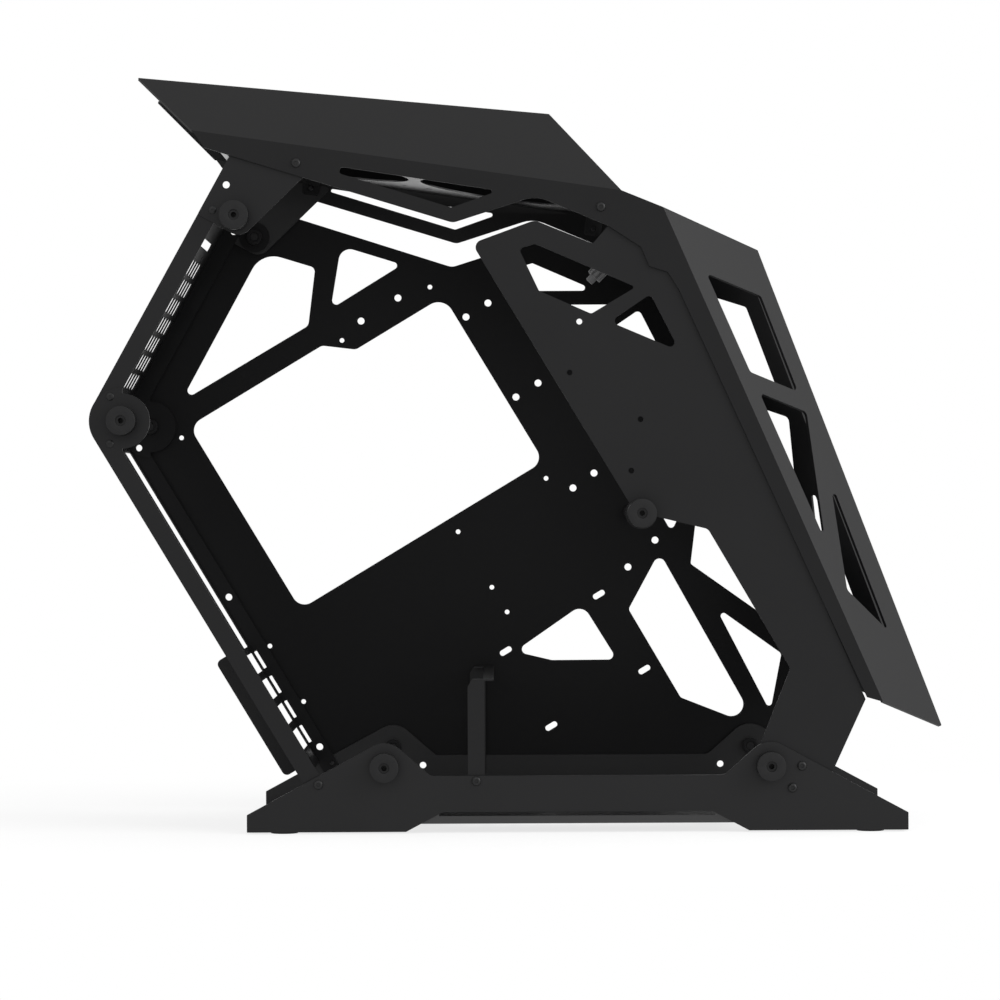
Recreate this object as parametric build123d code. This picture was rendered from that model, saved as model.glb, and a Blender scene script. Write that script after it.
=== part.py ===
from build123d import *
import math
import os

# Open-frame computer case for a microATX board, in millimetres and degrees.
# +X runs to the front of the case, -Y is its left (open) side, +Z is up.
# The origin is on the ground, below the middle of the whole case.

# Sheet metal and the layers of the side walls, counted from the mid plane
plate = 2.0                 # foot plates and covers
sheet = 1.0                 # tray, panels, brackets and fan plates
side_face = 101.0           # outer face of the foot plates and covers
glass_plane = 112.0         # outer face of the post washers, where side glass rests
plate_inner = side_face - plate
sheet_inner = plate_inner - sheet
tab_inner = sheet_inner - sheet

# Foot plates
base_mid_x = 38.0           # middle of the foot plates
base_length = 430.0
pad_height = 1.0            # rubber pad under the foot plate
pad_radius = 9.0
foot_length = 103.5         # flat length of each foot
foot_end_height = 11.3
foot_flange = 22.0          # inward flange that carries the pads
foot_flange_inset = 1.0     # flange ends from the foot's ends
foot_flange_corner = 6.0
pad_inset = 24.0            # pad centres from the foot plate's ends
pad_side_gap = 0.3          # pads inside the plate's outer face
base_hub_spacing = 251.0
base_hub_height = 42.0      # above the foot plate's lower edge
base_lobe_radius = 15.5     # hump around each base hub
inner_slope = 41.5          # slope from each hump down to the waist
waist_height = 36.2
notch_height = 12.8
notch_slope = 28.0
far_hole_radius = 2.3
far_hole_drop = 7.0         # tooling holes of the far plate, below its waist edge
far_hole_reach = 104.5      # and from its middle

# Rear hubs and the two rear panels, which meet at the rear hub
rear_hub = (-256.9, 268.9)
upper_hub_pitch = 152.0     # from the rear hub to the upper hub
hub_inset = 21.8            # from the hubs to the panels' outer faces
upper_tilt = 29.0           # upper panel, from the vertical
board_tilt = 31.0           # lower panel from the vertical, and board from the level
strut_width = 11.8          # side flanges of the rear panels
hub_lobe_radius = 17.9
upper_panel_overrun = 9.0   # upper panel above the upper hub
lower_panel_length = 262.7  # lower panel from the rear hub down
lower_flange_length = 274.5 # its side flanges reach down behind the foot plates
lower_screw_place = (8.2, 268.3)    # from the panel's outer face, and down from the rear hub
rivet_step = 8.5            # rivets from the hubs, along the panels
rivet_inset = 14.6          # rivets and tooling holes from the hubs, outwards
tool_hole_radius = 2.3

# Board, its hole pattern and the standard rear openings (ATX practice)
board_hole_in = 8.4         # first hole column from the rear hub, towards the hub's outside
board_hole_down = 17.7      # first hole row below the rear hub
board_columns = (0.0, 154.94, 227.33)
board_rows = (0.0, 157.48, 203.2)
first_row_offset = 22.86
standoff_hole_radius = 1.65
io_width = 158.75
io_depth = 44.45
io_start = -9.0             # upper end of the opening from the first hole row
io_to_tray = 5.5            # opening from the tray's near face
slot_pitch = 20.32
slot_count = 4
slot_width = 14.6
slot_first = 162.2          # middle of the first slot below the first hole row
slot_depth = 107.0
slot_to_tray = 5.0
tongue_length = 13.7
tongue_width = 2.4
tongue_from_edge = 1.6

# Outside ledge for the card screws
ledge_y = -22.0
ledge_reach = 14.5
ledge_flange = 12.0
ledge_corner = 3.6
ledge_above = 6.2           # ledge above the first card screw
ledge_below = 22.6          # and below the last one
ledge_rivet_inset = 12.0
card_screw_offset = -8.1
card_screw_out = 4.6
card_screw_radius = 1.75

# Upper panel vents, in rows across the panel
vent_length = 11.4          # along the panel
vent_width = 14.0
vent_pitch_along = 14.65
vent_pitch_across = 17.0    # every second row has one vent more
vent_rows = 7
vent_columns = 9
vent_corner = 2.6
vent_middle = 66.7          # middle of the vents and of the fan, from the rear hub
grip_slot_height = 5.8      # long slot above the vents
grip_slot_width = 146.0
grip_slot_station = 129.5

# Fans
fan_bore_radius = 57.5
fan_hole_spacing = 105.0
fan_hole_radius = 2.25
fan_pitch = 123.0

# Upper rear brackets
bracket_drop = 10.6         # lower edge below the upper hub
bracket_lean = 44.0         # slope of the front edge
bracket_radius = 13.0       # front edge from the upper hub
bracket_top_gap = 9.0       # upper edge below the cover's fold

# Covers: one folded sheet on each side, with a top facet and a front facet
cover_rear = (-210.8, 457.6)
top_fold_length = 282.0
top_fold_slope = 8.2
corner_length = 29.2
corner_slope = 22.2
front_fold_length = 351.9
front_fold_slope = 66.3
facet_lean = 42.4           # facets lean inwards from the side plane
flange_rear = (9.8, 10.1)   # flange edge: station along the fold and depth below it
flange_vee = (176.5, 36.0)
flange_arch = (227.5, 11.2)
flange_front = (275.8, 23.7)
seam_corner = ((17.9, 23.6), (31.6, 23.7), (39.8, 14.3), (53.8, 12.3))
seam_foot = (345.0, 8.3)
top_facet_rear = (-42.5, 43.0)    # free corners: station and slope distance
top_facet_front = (228.5, 63.6)
front_facet_top = (49.2, 66.0)
front_facet_foot = (385.2, 41.8)
flange_window = ((67.9, 9.7), (203.3, 11.3, 1.5), (174.2, 26.4, 3.0))
flange_tip_left = 2.4       # radius at the window's rear tip, on the left cover
flange_tip_right = 1.25     # and on the right cover
facet_windows = (           # corners: station, slope distance and radius
    ((50.5, 12.0, 2.0), (78.0, 50.8, 3.0), (145.5, 46.0, 2.0), (121.0, 12.0, 4.0)),
    ((135.7, 12.0, 2.0), (160.0, 45.6, 4.0), (241.0, 12.0, 1.5)),
    ((205.5, 40.2, 2.0), (313.0, 32.0, 1.2), (276.5, 12.0, 4.0)),
)

# Top and front fan plates and the button panel between them
fan_plate_drop = 4.2        # lower face of the fan plates below the folds
fan_plate_start = 12.5
top_fan_first = 83.0
top_fan_plate_end = 276.5
tab_screw_rear = (70.0, 11.7)
tab_screw_front = (270.3, 12.5)
tab_half_width = 6.0
tab_corner = 2.5
cable_slot = (5.0, 150.0)   # slot behind the first fan: width and length
cable_slot_station = 19.0
front_fan_plate_end = 340.0
front_fan_margin = 68.0
fan_side_flange = 9.0
button_panel_angle = 45.0

# Front side plate and the mirrored windows in the tray
side_hub = (80.5, 207.4)
side_hub_lobe = 10.4
side_peak = (11.8, 398.3)
side_dip = (49.6, 382.9)
side_rise = (60.1, 395.0)
side_rise_slope = 51.0      # short edge that follows the dip
side_rise_length = 12.0
side_left_in = 254.3        # left edge from the rear hub, along the board
side_top_slope = 20.1
side_end = 6.0              # near plate ends this far above the cover's foot
tray_end = 4.5
foot_lobe_reach = 32.0      # lower corner in front of the front base hub
foot_lobe_height = 20.0
fold_cover = 5.0            # plates end this far short of the cover's fold
side_foot = (205.9, 42.9)
side_leg = (157.8, 58.9)
side_knee = (176.8, 106.1)
side_shoulder = (123.7, 196.9)
upper_window = ((1.5, 379.8), (12.0, 382.9), (77.5, 354.5), (48.4, 337.3), (14.5, 352.3))
upper_window_radii = (2.5, 2.5, 1.4, 2.5, 2.5)
lower_window = ((60.5, 332.0), (87.0, 349.9), (106.0, 312.6))
side_holes = ((40.6, 332.2), (34.2, 299.1), (80.2, 268.5), (74.0, 235.1))
side_hole_radius = 1.9

# Tray
tray_bottom = 20.0
tray_top_left = 428.0
tray_vee = (-44.5, 380.4)
edge_hole_in = 6.7          # holes along the rear edge, from that edge
edge_holes = (113.1, 236.2)
edge_hole_radius = 2.45
tie_holes = (
    (173.5, -4.7), (204.1, -5.1), (238.1, 31.2), (256.4, 30.8), (238.9, 97.6),
    (257.3, 97.2), (240.0, 173.1), (258.1, 171.8), (244.2, 240.7), (270.3, 234.4),
)
extra_hole = (155.1, 223.6)
drive_first = (140.0, 246.7)
drive_spacing = (76.6, 61.72)
drive_slot = (9.0, 4.0)
main_cut = (31.7, -4.2, 232.1, 146.4)
main_step = (141.0, 160.0, 14.8)
main_corner = 9.0
plain_windows = (           # corners in the side view: x, z and radius
    ((-235.9, 286.4, 3.0), (-178.4, 391.9, 17.0), (-140.8, 380.4, 4.0), (-145.8, 339.7, 5.0)),
    ((-122.6, 395.7, 8.0), (-79.7, 382.4, 2.5), (-130.0, 351.4, 3.0)),
    ((-1.5, 109.8, 3.5), (46.2, 142.8, 7.9), (70.4, 103.8, 3.5), (24.5, 103.6, 4.0)),
    ((100.4, 179.3, 4.3), (78.6, 139.2, 3.0), (115.0, 76.9, 4.0), (169.5, 55.5, 8.5)),
    ((127.5, 212.0, 4.0), (122.4, 170.9, 2.0), (178.5, 131.0, 3.0), (150.0, 200.0, 6.0)),
    ((139.6, 140.9, 2.1), (186.0, 107.5, 3.0), (178.0, 66.5, 2.2)),
    ((109.0, 193.4, 2.5), (84.0, 238.0, 4.0), (131.0, 240.0, 4.0)),
)
rib_low = 353.6             # rib across the upper window of the tray
rib_high = 363.4
rib_tip = 2.1               # radius of the tray's window at the rib's tip
rib_corner = 1.2

# Power supply shelf and strap
shelf_top = 11.1
shelf_lip = 5.1
shelf_reach = 113.0         # half length
shelf_tab_width = 23.0
shelf_tab_height = 11.0
shelf_vent = (8.0, 110.0)
shelf_vent_pitch = 18.0
shelf_vent_count = 9
supply_height = 86.0
supply_pad = 1.7
strap_x = -33.2
strap_leg_width = 11.0
strap_bridge_width = 7.0
strap_end_depth = 10.0
strap_leg_foot = 24.0
strap_screw_height = 33.8
strap_chamfer = 3.0

# Posts, washers, nuts, screws and rivets
post_radius = 9.4
post_thread_radius = 1.65
post_thread_depth = 8.0
stud_radius = 3.0
stud_clearance = 0.15
washer_height = 1.5
washer_bore = 3.4
nut_radius = 5.4
nut_height = 4.0
screw_head_radius = 3.1
screw_head_height = 1.7
screw_radius = 1.5
screw_socket = 1.45
screw_length = 6.0
rivet_head_radius = 2.6
rivet_head_height = 0.9
rivet_radius = 1.6

# Power button
button_along = 25.2         # from the panel's upper edge
bezel_radius = 9.5
bezel_height = 1.8
barrel_radius = 8.0
barrel_length = 17.0
tail_radius = 5.3           # plug housing behind the barrel
tail_length = 25.0
tip_radius = 2.8            # narrow end of the housing
tip_length = 4.5
tail_groove = (0.6, 1.3)    # lengthwise grooves: depth and width
tail_groove_count = 9
button_nut_radius = 10.5
button_nut_height = 3.0
cap_radius = 6.4
cap_gap = 0.15
cap_travel = 1.5
cap_proud = 0.4
cap_stem_radius = 3.0
cap_head = 3.0
cap_stem_length = 9.0
spring_pocket = 8.0         # below the panel's outer face
spring_wire = 0.35
spring_radius = 4.2
spring_turns = 3


# Plane geometry in the side view: points and directions are (x, z) pairs

def direction(angle):
    """Unit direction at an angle above +X."""
    return (math.cos(math.radians(angle)), math.sin(math.radians(angle)))


def step(point, heading, distance):
    """Point reached from another by a distance along a heading."""
    return (point[0] + heading[0] * distance, point[1] + heading[1] * distance)


def meet(point_a, heading_a, point_b, heading_b):
    """Crossing of two lines, each given by a point and a heading."""
    cross = heading_a[0] * heading_b[1] - heading_a[1] * heading_b[0]
    gap = (point_b[0] - point_a[0], point_b[1] - point_a[1])
    along = (gap[0] * heading_b[1] - gap[1] * heading_b[0]) / cross
    return step(point_a, heading_a, along)


def heading_of(start, end):
    """Unit direction from one point to another."""
    span = math.dist(start, end)
    return ((end[0] - start[0]) / span, (end[1] - start[1]) / span)


def mix(origin, heading, normal, along, off):
    """Point at a station along a line and a distance off it."""
    return step(step(origin, heading, along), normal, off)


board_along = direction(board_tilt)
board_down = direction(board_tilt - 90.0)
upper_along = direction(90.0 - upper_tilt)
upper_inward = direction(-upper_tilt)
upper_hub = step(rear_hub, upper_along, upper_hub_pitch)
board_first_hole = mix(rear_hub, board_along, board_down, -board_hole_in, board_hole_down)
base_hubs = [(base_mid_x + side * base_hub_spacing / 2, pad_height + base_hub_height) for side in (-1, 1)]
panel_in = board_hole_in - hub_inset

top_along = direction(-top_fold_slope)
top_normal = direction(90.0 - top_fold_slope)
cover_corner = step(cover_rear, top_along, top_fold_length)
front_top = step(cover_corner, direction(-corner_slope), corner_length)
front_along = direction(-front_fold_slope)
front_normal = direction(90.0 - front_fold_slope)


def board(along, down):
    """Point in the board's frame, counted from its first hole row and column."""
    return mix(board_first_hole, board_along, board_down, along, down)


def upper(along, inward):
    """Point along the upper panel from the rear hub, and inwards from the hub line."""
    return mix(rear_hub, upper_along, upper_inward, along, inward)


def top_fold(along, depth):
    """Point along the cover's top fold, at a depth below it."""
    return mix(cover_rear, top_along, top_normal, along, -depth)


def front_fold(along, depth):
    """Point along the cover's front fold, at a depth inside it."""
    return mix(front_top, front_along, front_normal, along, -depth)


# Sheet metal

side_plane = Plane.XZ


def area(corners):
    """Face of a closed outline, from (x, y, corner radius) triples."""
    points = [(corner[0], corner[1]) for corner in corners]
    radii = [corner[2] for corner in corners]
    return make_face(FilletPolyline(*points, radius=radii, close=True))


def rounded(points, radius):
    """Corner triples that share one radius."""
    return [(point[0], point[1], radius) for point in points]


def blank(corners, plane, thickness):
    """Flat sheet cut to an outline on a plane and thickened along its normal."""
    return extrude(plane * area(corners), amount=thickness, dir=plane.z_dir)


def wall(corners, y_low, y_high):
    """Upright sheet, cut to a side view outline, between two depths."""
    lay = Plane(origin=(0, y_high, 0), x_dir=(1, 0, 0), z_dir=(0, -1, 0))
    return blank(corners, lay, y_high - y_low)


def bore(point, radius, y_low, y_high):
    """Cylinder across the case through a side view point."""
    lay = Plane(origin=(point[0], y_high, point[1]), x_dir=(1, 0, 0), z_dir=(0, -1, 0))
    return extrude(lay * Circle(radius), amount=y_high - y_low, dir=lay.z_dir)


def lying(origin, heading, y=0.0):
    """Plane that runs along a side view heading and across the case."""
    return Plane(origin=(origin[0], y, origin[1]), x_dir=(heading[0], 0, heading[1]),
                 z_dir=(-heading[1], 0, heading[0]))


def box_on(plane, low, high, thickness):
    """Rectangular sheet on a plane, from its low to its high corner."""
    corners = [(low[0], low[1]), (high[0], low[1]), (high[0], high[1]), (low[0], high[1])]
    return blank(rounded(corners, 0), plane, thickness)


def punch(plane, points, radius, reach):
    """Round punches through a plane, at points on it."""
    tools = [extrude(plane * Pos(point[0], point[1]) * Circle(radius), amount=reach, both=True,
                     dir=plane.z_dir) for point in points]
    return tools


def mirrored(solid):
    """The same piece on the other side of the case."""
    return mirror(solid, about=Plane.XZ)


def as_group(solids):
    """Separate like pieces that share one node."""
    return Compound(children=[solid.solid() if len(solid.solids()) == 1 else solid for solid in solids])


def cut(body, tools):
    """Body less every tool in a list."""
    return body - tools


# Foot plates

plate_low = pad_height
half_base = base_length / 2


def base_outline():
    """Half outline of the foot plate to the right of its middle, mirrored to the left."""
    hub = base_hubs[1]
    foot_end = base_mid_x + half_base
    foot_top = (foot_end, plate_low + foot_end_height)
    reach = math.dist(foot_top, hub)
    bearing = math.degrees(math.atan2(hub[1] - foot_top[1], hub[0] - foot_top[0]))
    ramp = direction(bearing - math.degrees(math.asin(base_lobe_radius / reach)))
    inner = direction(180.0 + inner_slope)
    tangent = step(hub, direction(90.0 + inner_slope), base_lobe_radius)
    peak = meet(foot_top, ramp, tangent, inner)
    waist = meet(tangent, inner, (base_mid_x, plate_low + waist_height), (1.0, 0.0))
    notch_foot = (foot_end - foot_length, plate_low)
    notch_top = meet(notch_foot, direction(180.0 - notch_slope),
                     (base_mid_x, plate_low + notch_height), (1.0, 0.0))
    right = [(*notch_top, 6.0), (*notch_foot, 1.0), (foot_end, plate_low, 0.5), (*foot_top, 0.5),
             (*peak, base_lobe_radius), (*waist, 6.0)]
    left = [(2 * base_mid_x - x, z, radius) for x, z, radius in reversed(right)]
    return right + left


def foot_pads():
    """Pad centres along the foot plate."""
    return [base_mid_x - half_base + pad_inset, base_mid_x + half_base - pad_inset]


def base_plate():
    """Left foot plate: an upright sheet with a flange under each foot."""
    body = wall(base_outline(), -side_face, -plate_inner)
    for side in (-1, 1):
        outer = base_mid_x + side * (half_base - foot_flange_inset)
        inner = base_mid_x + side * (half_base - foot_length + foot_flange_inset)
        corners = [(outer, -side_face, 0), (inner, -side_face, 0),
                   (inner, -side_face + foot_flange, foot_flange_corner),
                   (outer, -side_face + foot_flange, foot_flange_corner)]
        body = body + blank(corners, Plane.XY.offset(plate_low), plate)
    return cut(body, [bore(hub, stud_radius + stud_clearance, -side_face - 1, -plate_inner + 1)
                      for hub in base_hubs])


strap_screw = (strap_x + strap_leg_width / 2, strap_screw_height)
lower_screw = board(panel_in + lower_screw_place[0], lower_screw_place[1] - board_hole_down)
foot_screw = (183.9, 42.8)
base_screws = [strap_screw, lower_screw, foot_screw]

base_left = cut(base_plate(), [bore(point, screw_radius, -side_face - 1, -plate_inner + 1)
                               for point in base_screws])
base_right = cut(mirrored(base_plate()), [bore(point, screw_radius, plate_inner - 1, side_face + 1)
                                          for point in base_screws[:2]])
far_holes = [(base_mid_x + side * far_hole_reach, plate_low + waist_height - far_hole_drop)
             for side in (-1, 1)]
base_right = cut(base_right, [bore(point, far_hole_radius, plate_inner - 1, side_face + 1)
                              for point in far_holes])

pad_y = side_face - pad_side_gap - pad_radius
pads = [Pos(x, side * pad_y, pad_height / 2) * Cylinder(pad_radius, pad_height)
        for x in foot_pads() for side in (-1, 1)]


# Rear panels

lower_rivet = board(board_hole_in - rivet_inset, rivet_step - board_hole_down)
middle_rivet = upper(rivet_step + 1.6, -rivet_inset)
upper_rivet = upper(upper_hub_pitch - 3.5, -rivet_inset)


def rivet_holes(places):
    """Rivet holes on both sides; on the right only the middle one is riveted, the rest are wider."""
    tools = [bore(place, rivet_radius, -side_face, 0) for place in places]
    tools += [bore(place, rivet_radius if place == middle_rivet else tool_hole_radius, 0, side_face)
              for place in places]
    return tools


def rear_lobe(y_low, y_high):
    """Rounded ear around the rear hub: full inset radius outside, lobe radius inside."""
    outside = bore(rear_hub, hub_inset, y_low, y_high)
    half = wall(rounded([(rear_hub[0], rear_hub[1] - hub_inset - 1), (rear_hub[0] + hub_inset + 1,
                rear_hub[1] - hub_inset - 1), (rear_hub[0] + hub_inset + 1, rear_hub[1] + hub_inset + 1),
                (rear_hub[0], rear_hub[1] + hub_inset + 1)], 0), y_low - 1, y_high + 1)
    return outside - half + bore(rear_hub, hub_lobe_radius, y_low, y_high)


lower_plane = Plane(origin=(board(panel_in, 0)[0], 0, board(panel_in, 0)[1]),
                    x_dir=(board_down[0], 0, board_down[1]), z_dir=(board_along[0], 0, board_along[1]))
lower_start = -board_hole_down
lower_end = lower_panel_length - board_hole_down
io_far = side_face - io_to_tray
slot_far = side_face - slot_to_tray
slot_middles = [slot_first + slot_pitch * index for index in range(slot_count)]


edge_places = [board(panel_in + edge_hole_in, down) for down in edge_holes]


def side_slots(y_low, y_high):
    """Slots for the card brackets' tongues, between two depths on the right side."""
    low = panel_in + tongue_from_edge
    high = low + tongue_width
    tools = []
    for middle in slot_middles:
        top = middle - tongue_length / 2
        corners = [board(low, top), board(high, top), board(high, top + tongue_length),
                   board(low, top + tongue_length)]
        tools.append(wall(rounded(corners, 0.6), y_low, y_high))
    return tools


def rear_lower():
    """Folded panel with the I/O opening and the card slots."""
    body = box_on(lower_plane, (lower_start, -plate_inner), (lower_end, plate_inner), sheet)
    flange_end = lower_flange_length - board_hole_down
    strip = [board(panel_in, lower_start), board(panel_in, flange_end),
             board(panel_in + strut_width, flange_end), board(panel_in + strut_width, lower_start)]
    near = wall(rounded(strip, 0), -plate_inner, -sheet_inner) + rear_lobe(-plate_inner, -sheet_inner)
    body = body + near + mirrored(near)
    body = body - box_on(lower_plane.offset(-1), (io_start, io_far - io_depth),
                         (io_start + io_width, io_far), sheet + 2)
    for middle in slot_middles:
        body = body - box_on(lower_plane.offset(-1), (middle - slot_width / 2, slot_far - slot_depth),
                             (middle + slot_width / 2, slot_far), sheet + 2)
    tools = [bore(rear_hub, stud_radius + stud_clearance, -side_face, side_face)]
    tools += rivet_holes([lower_rivet, middle_rivet])
    tools += [bore(lower_screw, screw_radius, -side_face, side_face)]
    tools += [bore(place, edge_hole_radius, 0, side_face) for place in edge_places]
    tools += side_slots(sheet_inner - sheet, side_face)
    tools += punch(lower_plane, ledge_rivets, rivet_radius, 3.0)
    return cut(body, tools)


upper_plane = Plane(origin=(upper(0, -hub_inset)[0], 0, upper(0, -hub_inset)[1]),
                    x_dir=(-upper_along[0], 0, -upper_along[1]),
                    z_dir=(upper_inward[0], 0, upper_inward[1]))
upper_end = upper_hub_pitch + upper_panel_overrun


def slot_tool(plane, middle, size, radius, reach):
    """Rounded slot punch, long side along the plane's first axis."""
    half_x = size[0] / 2
    half_y = size[1] / 2
    corners = [(middle[0] - half_x, middle[1] - half_y), (middle[0] + half_x, middle[1] - half_y),
               (middle[0] + half_x, middle[1] + half_y), (middle[0] - half_x, middle[1] + half_y)]
    return blank(rounded(corners, radius), plane.offset(-reach), 2 * reach)


def fan_pattern(middle):
    """Four screw places of a fan around its middle."""
    half = fan_hole_spacing / 2
    return [(middle[0] + side_x * half, middle[1] + side_y * half)
            for side_x in (-1, 1) for side_y in (-1, 1)]


def vents():
    """Rounded vents of the upper panel, row by row, each second row with one vent more."""
    tools = []
    for row in range(vent_rows):
        columns = vent_columns + row % 2
        along = vent_middle + (row - (vent_rows - 1) / 2) * vent_pitch_along
        for column in range(columns):
            across = (column - (columns - 1) / 2) * vent_pitch_across
            tools.append(slot_tool(upper_plane, (-along, across), (vent_length, vent_width),
                                   vent_corner, 3.0))
    return tools


def rear_upper():
    """Folded panel with the vents, the fan pattern and a long slot."""
    body = box_on(upper_plane, (-upper_end, -sheet_inner), (0, sheet_inner), sheet)
    strip = [upper(0, -hub_inset), upper(upper_hub_pitch, -hub_inset),
             upper(upper_hub_pitch, strut_width - hub_inset), upper(0, strut_width - hub_inset)]
    near = wall(rounded(strip, 0), -sheet_inner, -tab_inner)
    near = near + rear_lobe(-sheet_inner, -tab_inner)
    near = near + bore(upper_hub, bracket_drop, -sheet_inner, -tab_inner)
    body = body + near + mirrored(near)
    tools = vents() + punch(upper_plane, fan_pattern((-vent_middle, 0)), fan_hole_radius, 3.0)
    tools.append(slot_tool(upper_plane, (-grip_slot_station, 0), (grip_slot_height, grip_slot_width),
                           grip_slot_height / 2 - 0.2, 3.0))
    for hub in (rear_hub, upper_hub):
        tools.append(bore(hub, stud_radius + stud_clearance, -side_face, side_face))
    tools += rivet_holes([lower_rivet, middle_rivet, upper_rivet])
    tools.append(box_on(lower_plane.offset(-sheet), (lower_start - 1.0, -side_face),
                        (lower_start + hub_inset, side_face), 2 * sheet + 0.1))
    return cut(body, tools)


def ledge_span():
    """Ends of the card screw ledge along the lower panel."""
    return (slot_middles[0] + card_screw_offset - ledge_above,
            slot_middles[-1] + card_screw_offset + ledge_below)


ledge_low, ledge_high = ledge_span()
ledge_rivets = [(along, ledge_y - ledge_flange / 2)
                for along in (ledge_low + ledge_rivet_inset, ledge_high - ledge_rivet_inset)]


def screw_ledge():
    """Angle outside the lower panel, with a hole for each card's screw."""
    out = panel_in - ledge_reach
    corners = [(*board(panel_in, ledge_low), 0), (*board(out, ledge_low), ledge_corner),
               (*board(out, ledge_high), ledge_corner), (*board(panel_in, ledge_high), 0)]
    shelf = wall(corners, ledge_y, ledge_y + sheet)
    leg = box_on(lower_plane.offset(-sheet), (ledge_low, ledge_y - ledge_flange),
                 (ledge_high, ledge_y + sheet), sheet)
    tools = [bore(board(panel_in - card_screw_out, middle + card_screw_offset), card_screw_radius,
                  ledge_y - 2, ledge_y + 3) for middle in slot_middles]
    tools += punch(lower_plane, ledge_rivets, rivet_radius, 3.0)
    return cut(shelf + leg, tools)


rear_lower_panel = rear_lower()
rear_upper_panel = rear_upper()
slot_screw_ledge = screw_ledge()


# Upper rear brackets

def bracket(rivet_hole):
    """Left bracket from the upper hub to the cover."""
    below = step(upper_hub, upper_along, -bracket_drop)
    front = step(upper_hub, direction(bracket_lean - 90.0), bracket_radius)
    low_front = meet(below, upper_inward, front, direction(bracket_lean))
    top_line = top_fold(0, bracket_top_gap)
    top_front = meet(front, direction(bracket_lean), top_line, top_along)
    top_rear = meet(upper(0, -hub_inset), upper_along, top_line, top_along)
    low_rear = meet(upper(0, -hub_inset), upper_along, below, upper_inward)
    corners = [(*low_rear, 1.5), (*low_front, bracket_drop - 1.0), (*top_front, 2.0), (*top_rear, 1.0)]
    body = wall(corners, -plate_inner, -sheet_inner)
    tools = [bore(upper_hub, stud_radius + stud_clearance, -side_face, 0),
             bore(upper_rivet, rivet_hole, -side_face, 0),
             bore(upper(upper_hub_pitch + 15.2, -rivet_inset), tool_hole_radius, -side_face, 0),
             bore(top_fold(*tab_screw_rear), screw_radius, -side_face, 0)]
    return cut(body, tools)


bracket_left = bracket(rivet_radius)
bracket_right = mirrored(bracket(tool_hole_radius))


# Covers

def facet_plane(origin, heading, normal):
    """Plane of a facet: along its fold, and up its slope."""
    lean = math.radians(facet_lean)
    slope = Vector(normal[0] * math.cos(lean), math.sin(lean), normal[1] * math.cos(lean))
    along = Vector(heading[0], 0, heading[1])
    return Plane(origin=(origin[0], -side_face, origin[1]), x_dir=along, z_dir=along.cross(slope))


def cover_flange(tip_corner):
    """Flat flange of the cover, from its rear end round to its foot."""
    seam = [(*front_fold(*place), 1.5) for place in reversed(seam_corner)]
    corners = [(*cover_rear, 0), (*cover_corner, 3.0), (*front_top, 0),
               (*front_fold(front_fold_length, 0), 0),
               (*front_fold(*seam_foot), 0.5), *seam, (*top_fold(*flange_front), 1.5),
               (*top_fold(*flange_arch), 22.0), (*top_fold(*flange_vee), 8.0),
               (*top_fold(*flange_rear), 1.0)]
    body = wall(corners, -side_face, -plate_inner)
    window = [(*top_fold(*flange_window[0]), tip_corner)]
    window += [(*top_fold(along, depth), corner) for along, depth, corner in flange_window[1:]]
    return body - wall(window, -side_face - 1, -plate_inner + 1)


def cover(tip_corner):
    """Left cover: the flange with its top and front facets."""
    top = facet_plane(cover_rear, top_along, top_normal)
    top_outline = [(0, 0, 0), (top_fold_length, 0, 0), (*top_facet_front, 1.0), (*top_facet_rear, 0.3)]
    front = facet_plane(front_top, front_along, front_normal)
    front_outline = [(0, 0, 0), (front_fold_length, 0, 0), (*front_facet_foot, 1.0),
                     (*front_facet_top, 1.0)]
    body = cover_flange(tip_corner)
    body = body + blank(top_outline, top.offset(-plate), plate)
    body = body + blank(front_outline, front.offset(-plate), plate)
    for window in facet_windows:
        body = body - blank(window, front.offset(-plate - 1.0), plate + 2.0)
    tools = [bore(top_fold(*place), screw_radius, -side_face - 1, -plate_inner + 1)
             for place in (tab_screw_rear, tab_screw_front)]
    return cut(body, tools)


cover_left = cover(flange_tip_left)
cover_right = mirrored(cover(flange_tip_right))


# Fan plates and button panel

def tab(place, y_low, y_high):
    """Small tab that hangs from the top fan plate around a screw."""
    rear = place[0] - tab_half_width
    front = place[0] + tab_half_width
    high = fan_plate_drop - sheet
    low = place[1] + tab_half_width - 1.0
    corners = [(*top_fold(rear, high), 0), (*top_fold(rear, low), tab_corner),
               (*top_fold(front, low), tab_corner), (*top_fold(front, high), 0)]
    return wall(corners, y_low, y_high) - bore(top_fold(*place), screw_radius, y_low - 1, y_high + 1)


def top_fans():
    """Sheet under the covers' top facets, with two fan openings."""
    lay = lying(top_fold(0, fan_plate_drop), top_along)
    body = box_on(lay, (fan_plate_start, -sheet_inner), (top_fan_plate_end, sheet_inner), sheet)
    middles = [(top_fan_first + fan_pitch * index, 0) for index in range(2)]
    tools = []
    for middle in middles:
        tools += punch(lay, [middle], fan_bore_radius, 4.0)
        tools += punch(lay, fan_pattern(middle), fan_hole_radius, 4.0)
    tools.append(slot_tool(lay, (cable_slot_station, 0), cable_slot, cable_slot[0] / 2 - 0.2, 4.0))
    body = cut(body, tools)
    rear = tab(tab_screw_rear, -sheet_inner, -tab_inner)
    body = body + rear + mirrored(rear) + tab(tab_screw_front, -sheet_inner, -tab_inner)
    bridge = box_on(lay, (tab_screw_front[0] - tab_half_width, tab_inner),
                    (tab_screw_front[0] + tab_half_width, plate_inner), sheet)
    return body + bridge + tab(tab_screw_front, sheet_inner, plate_inner)


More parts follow.
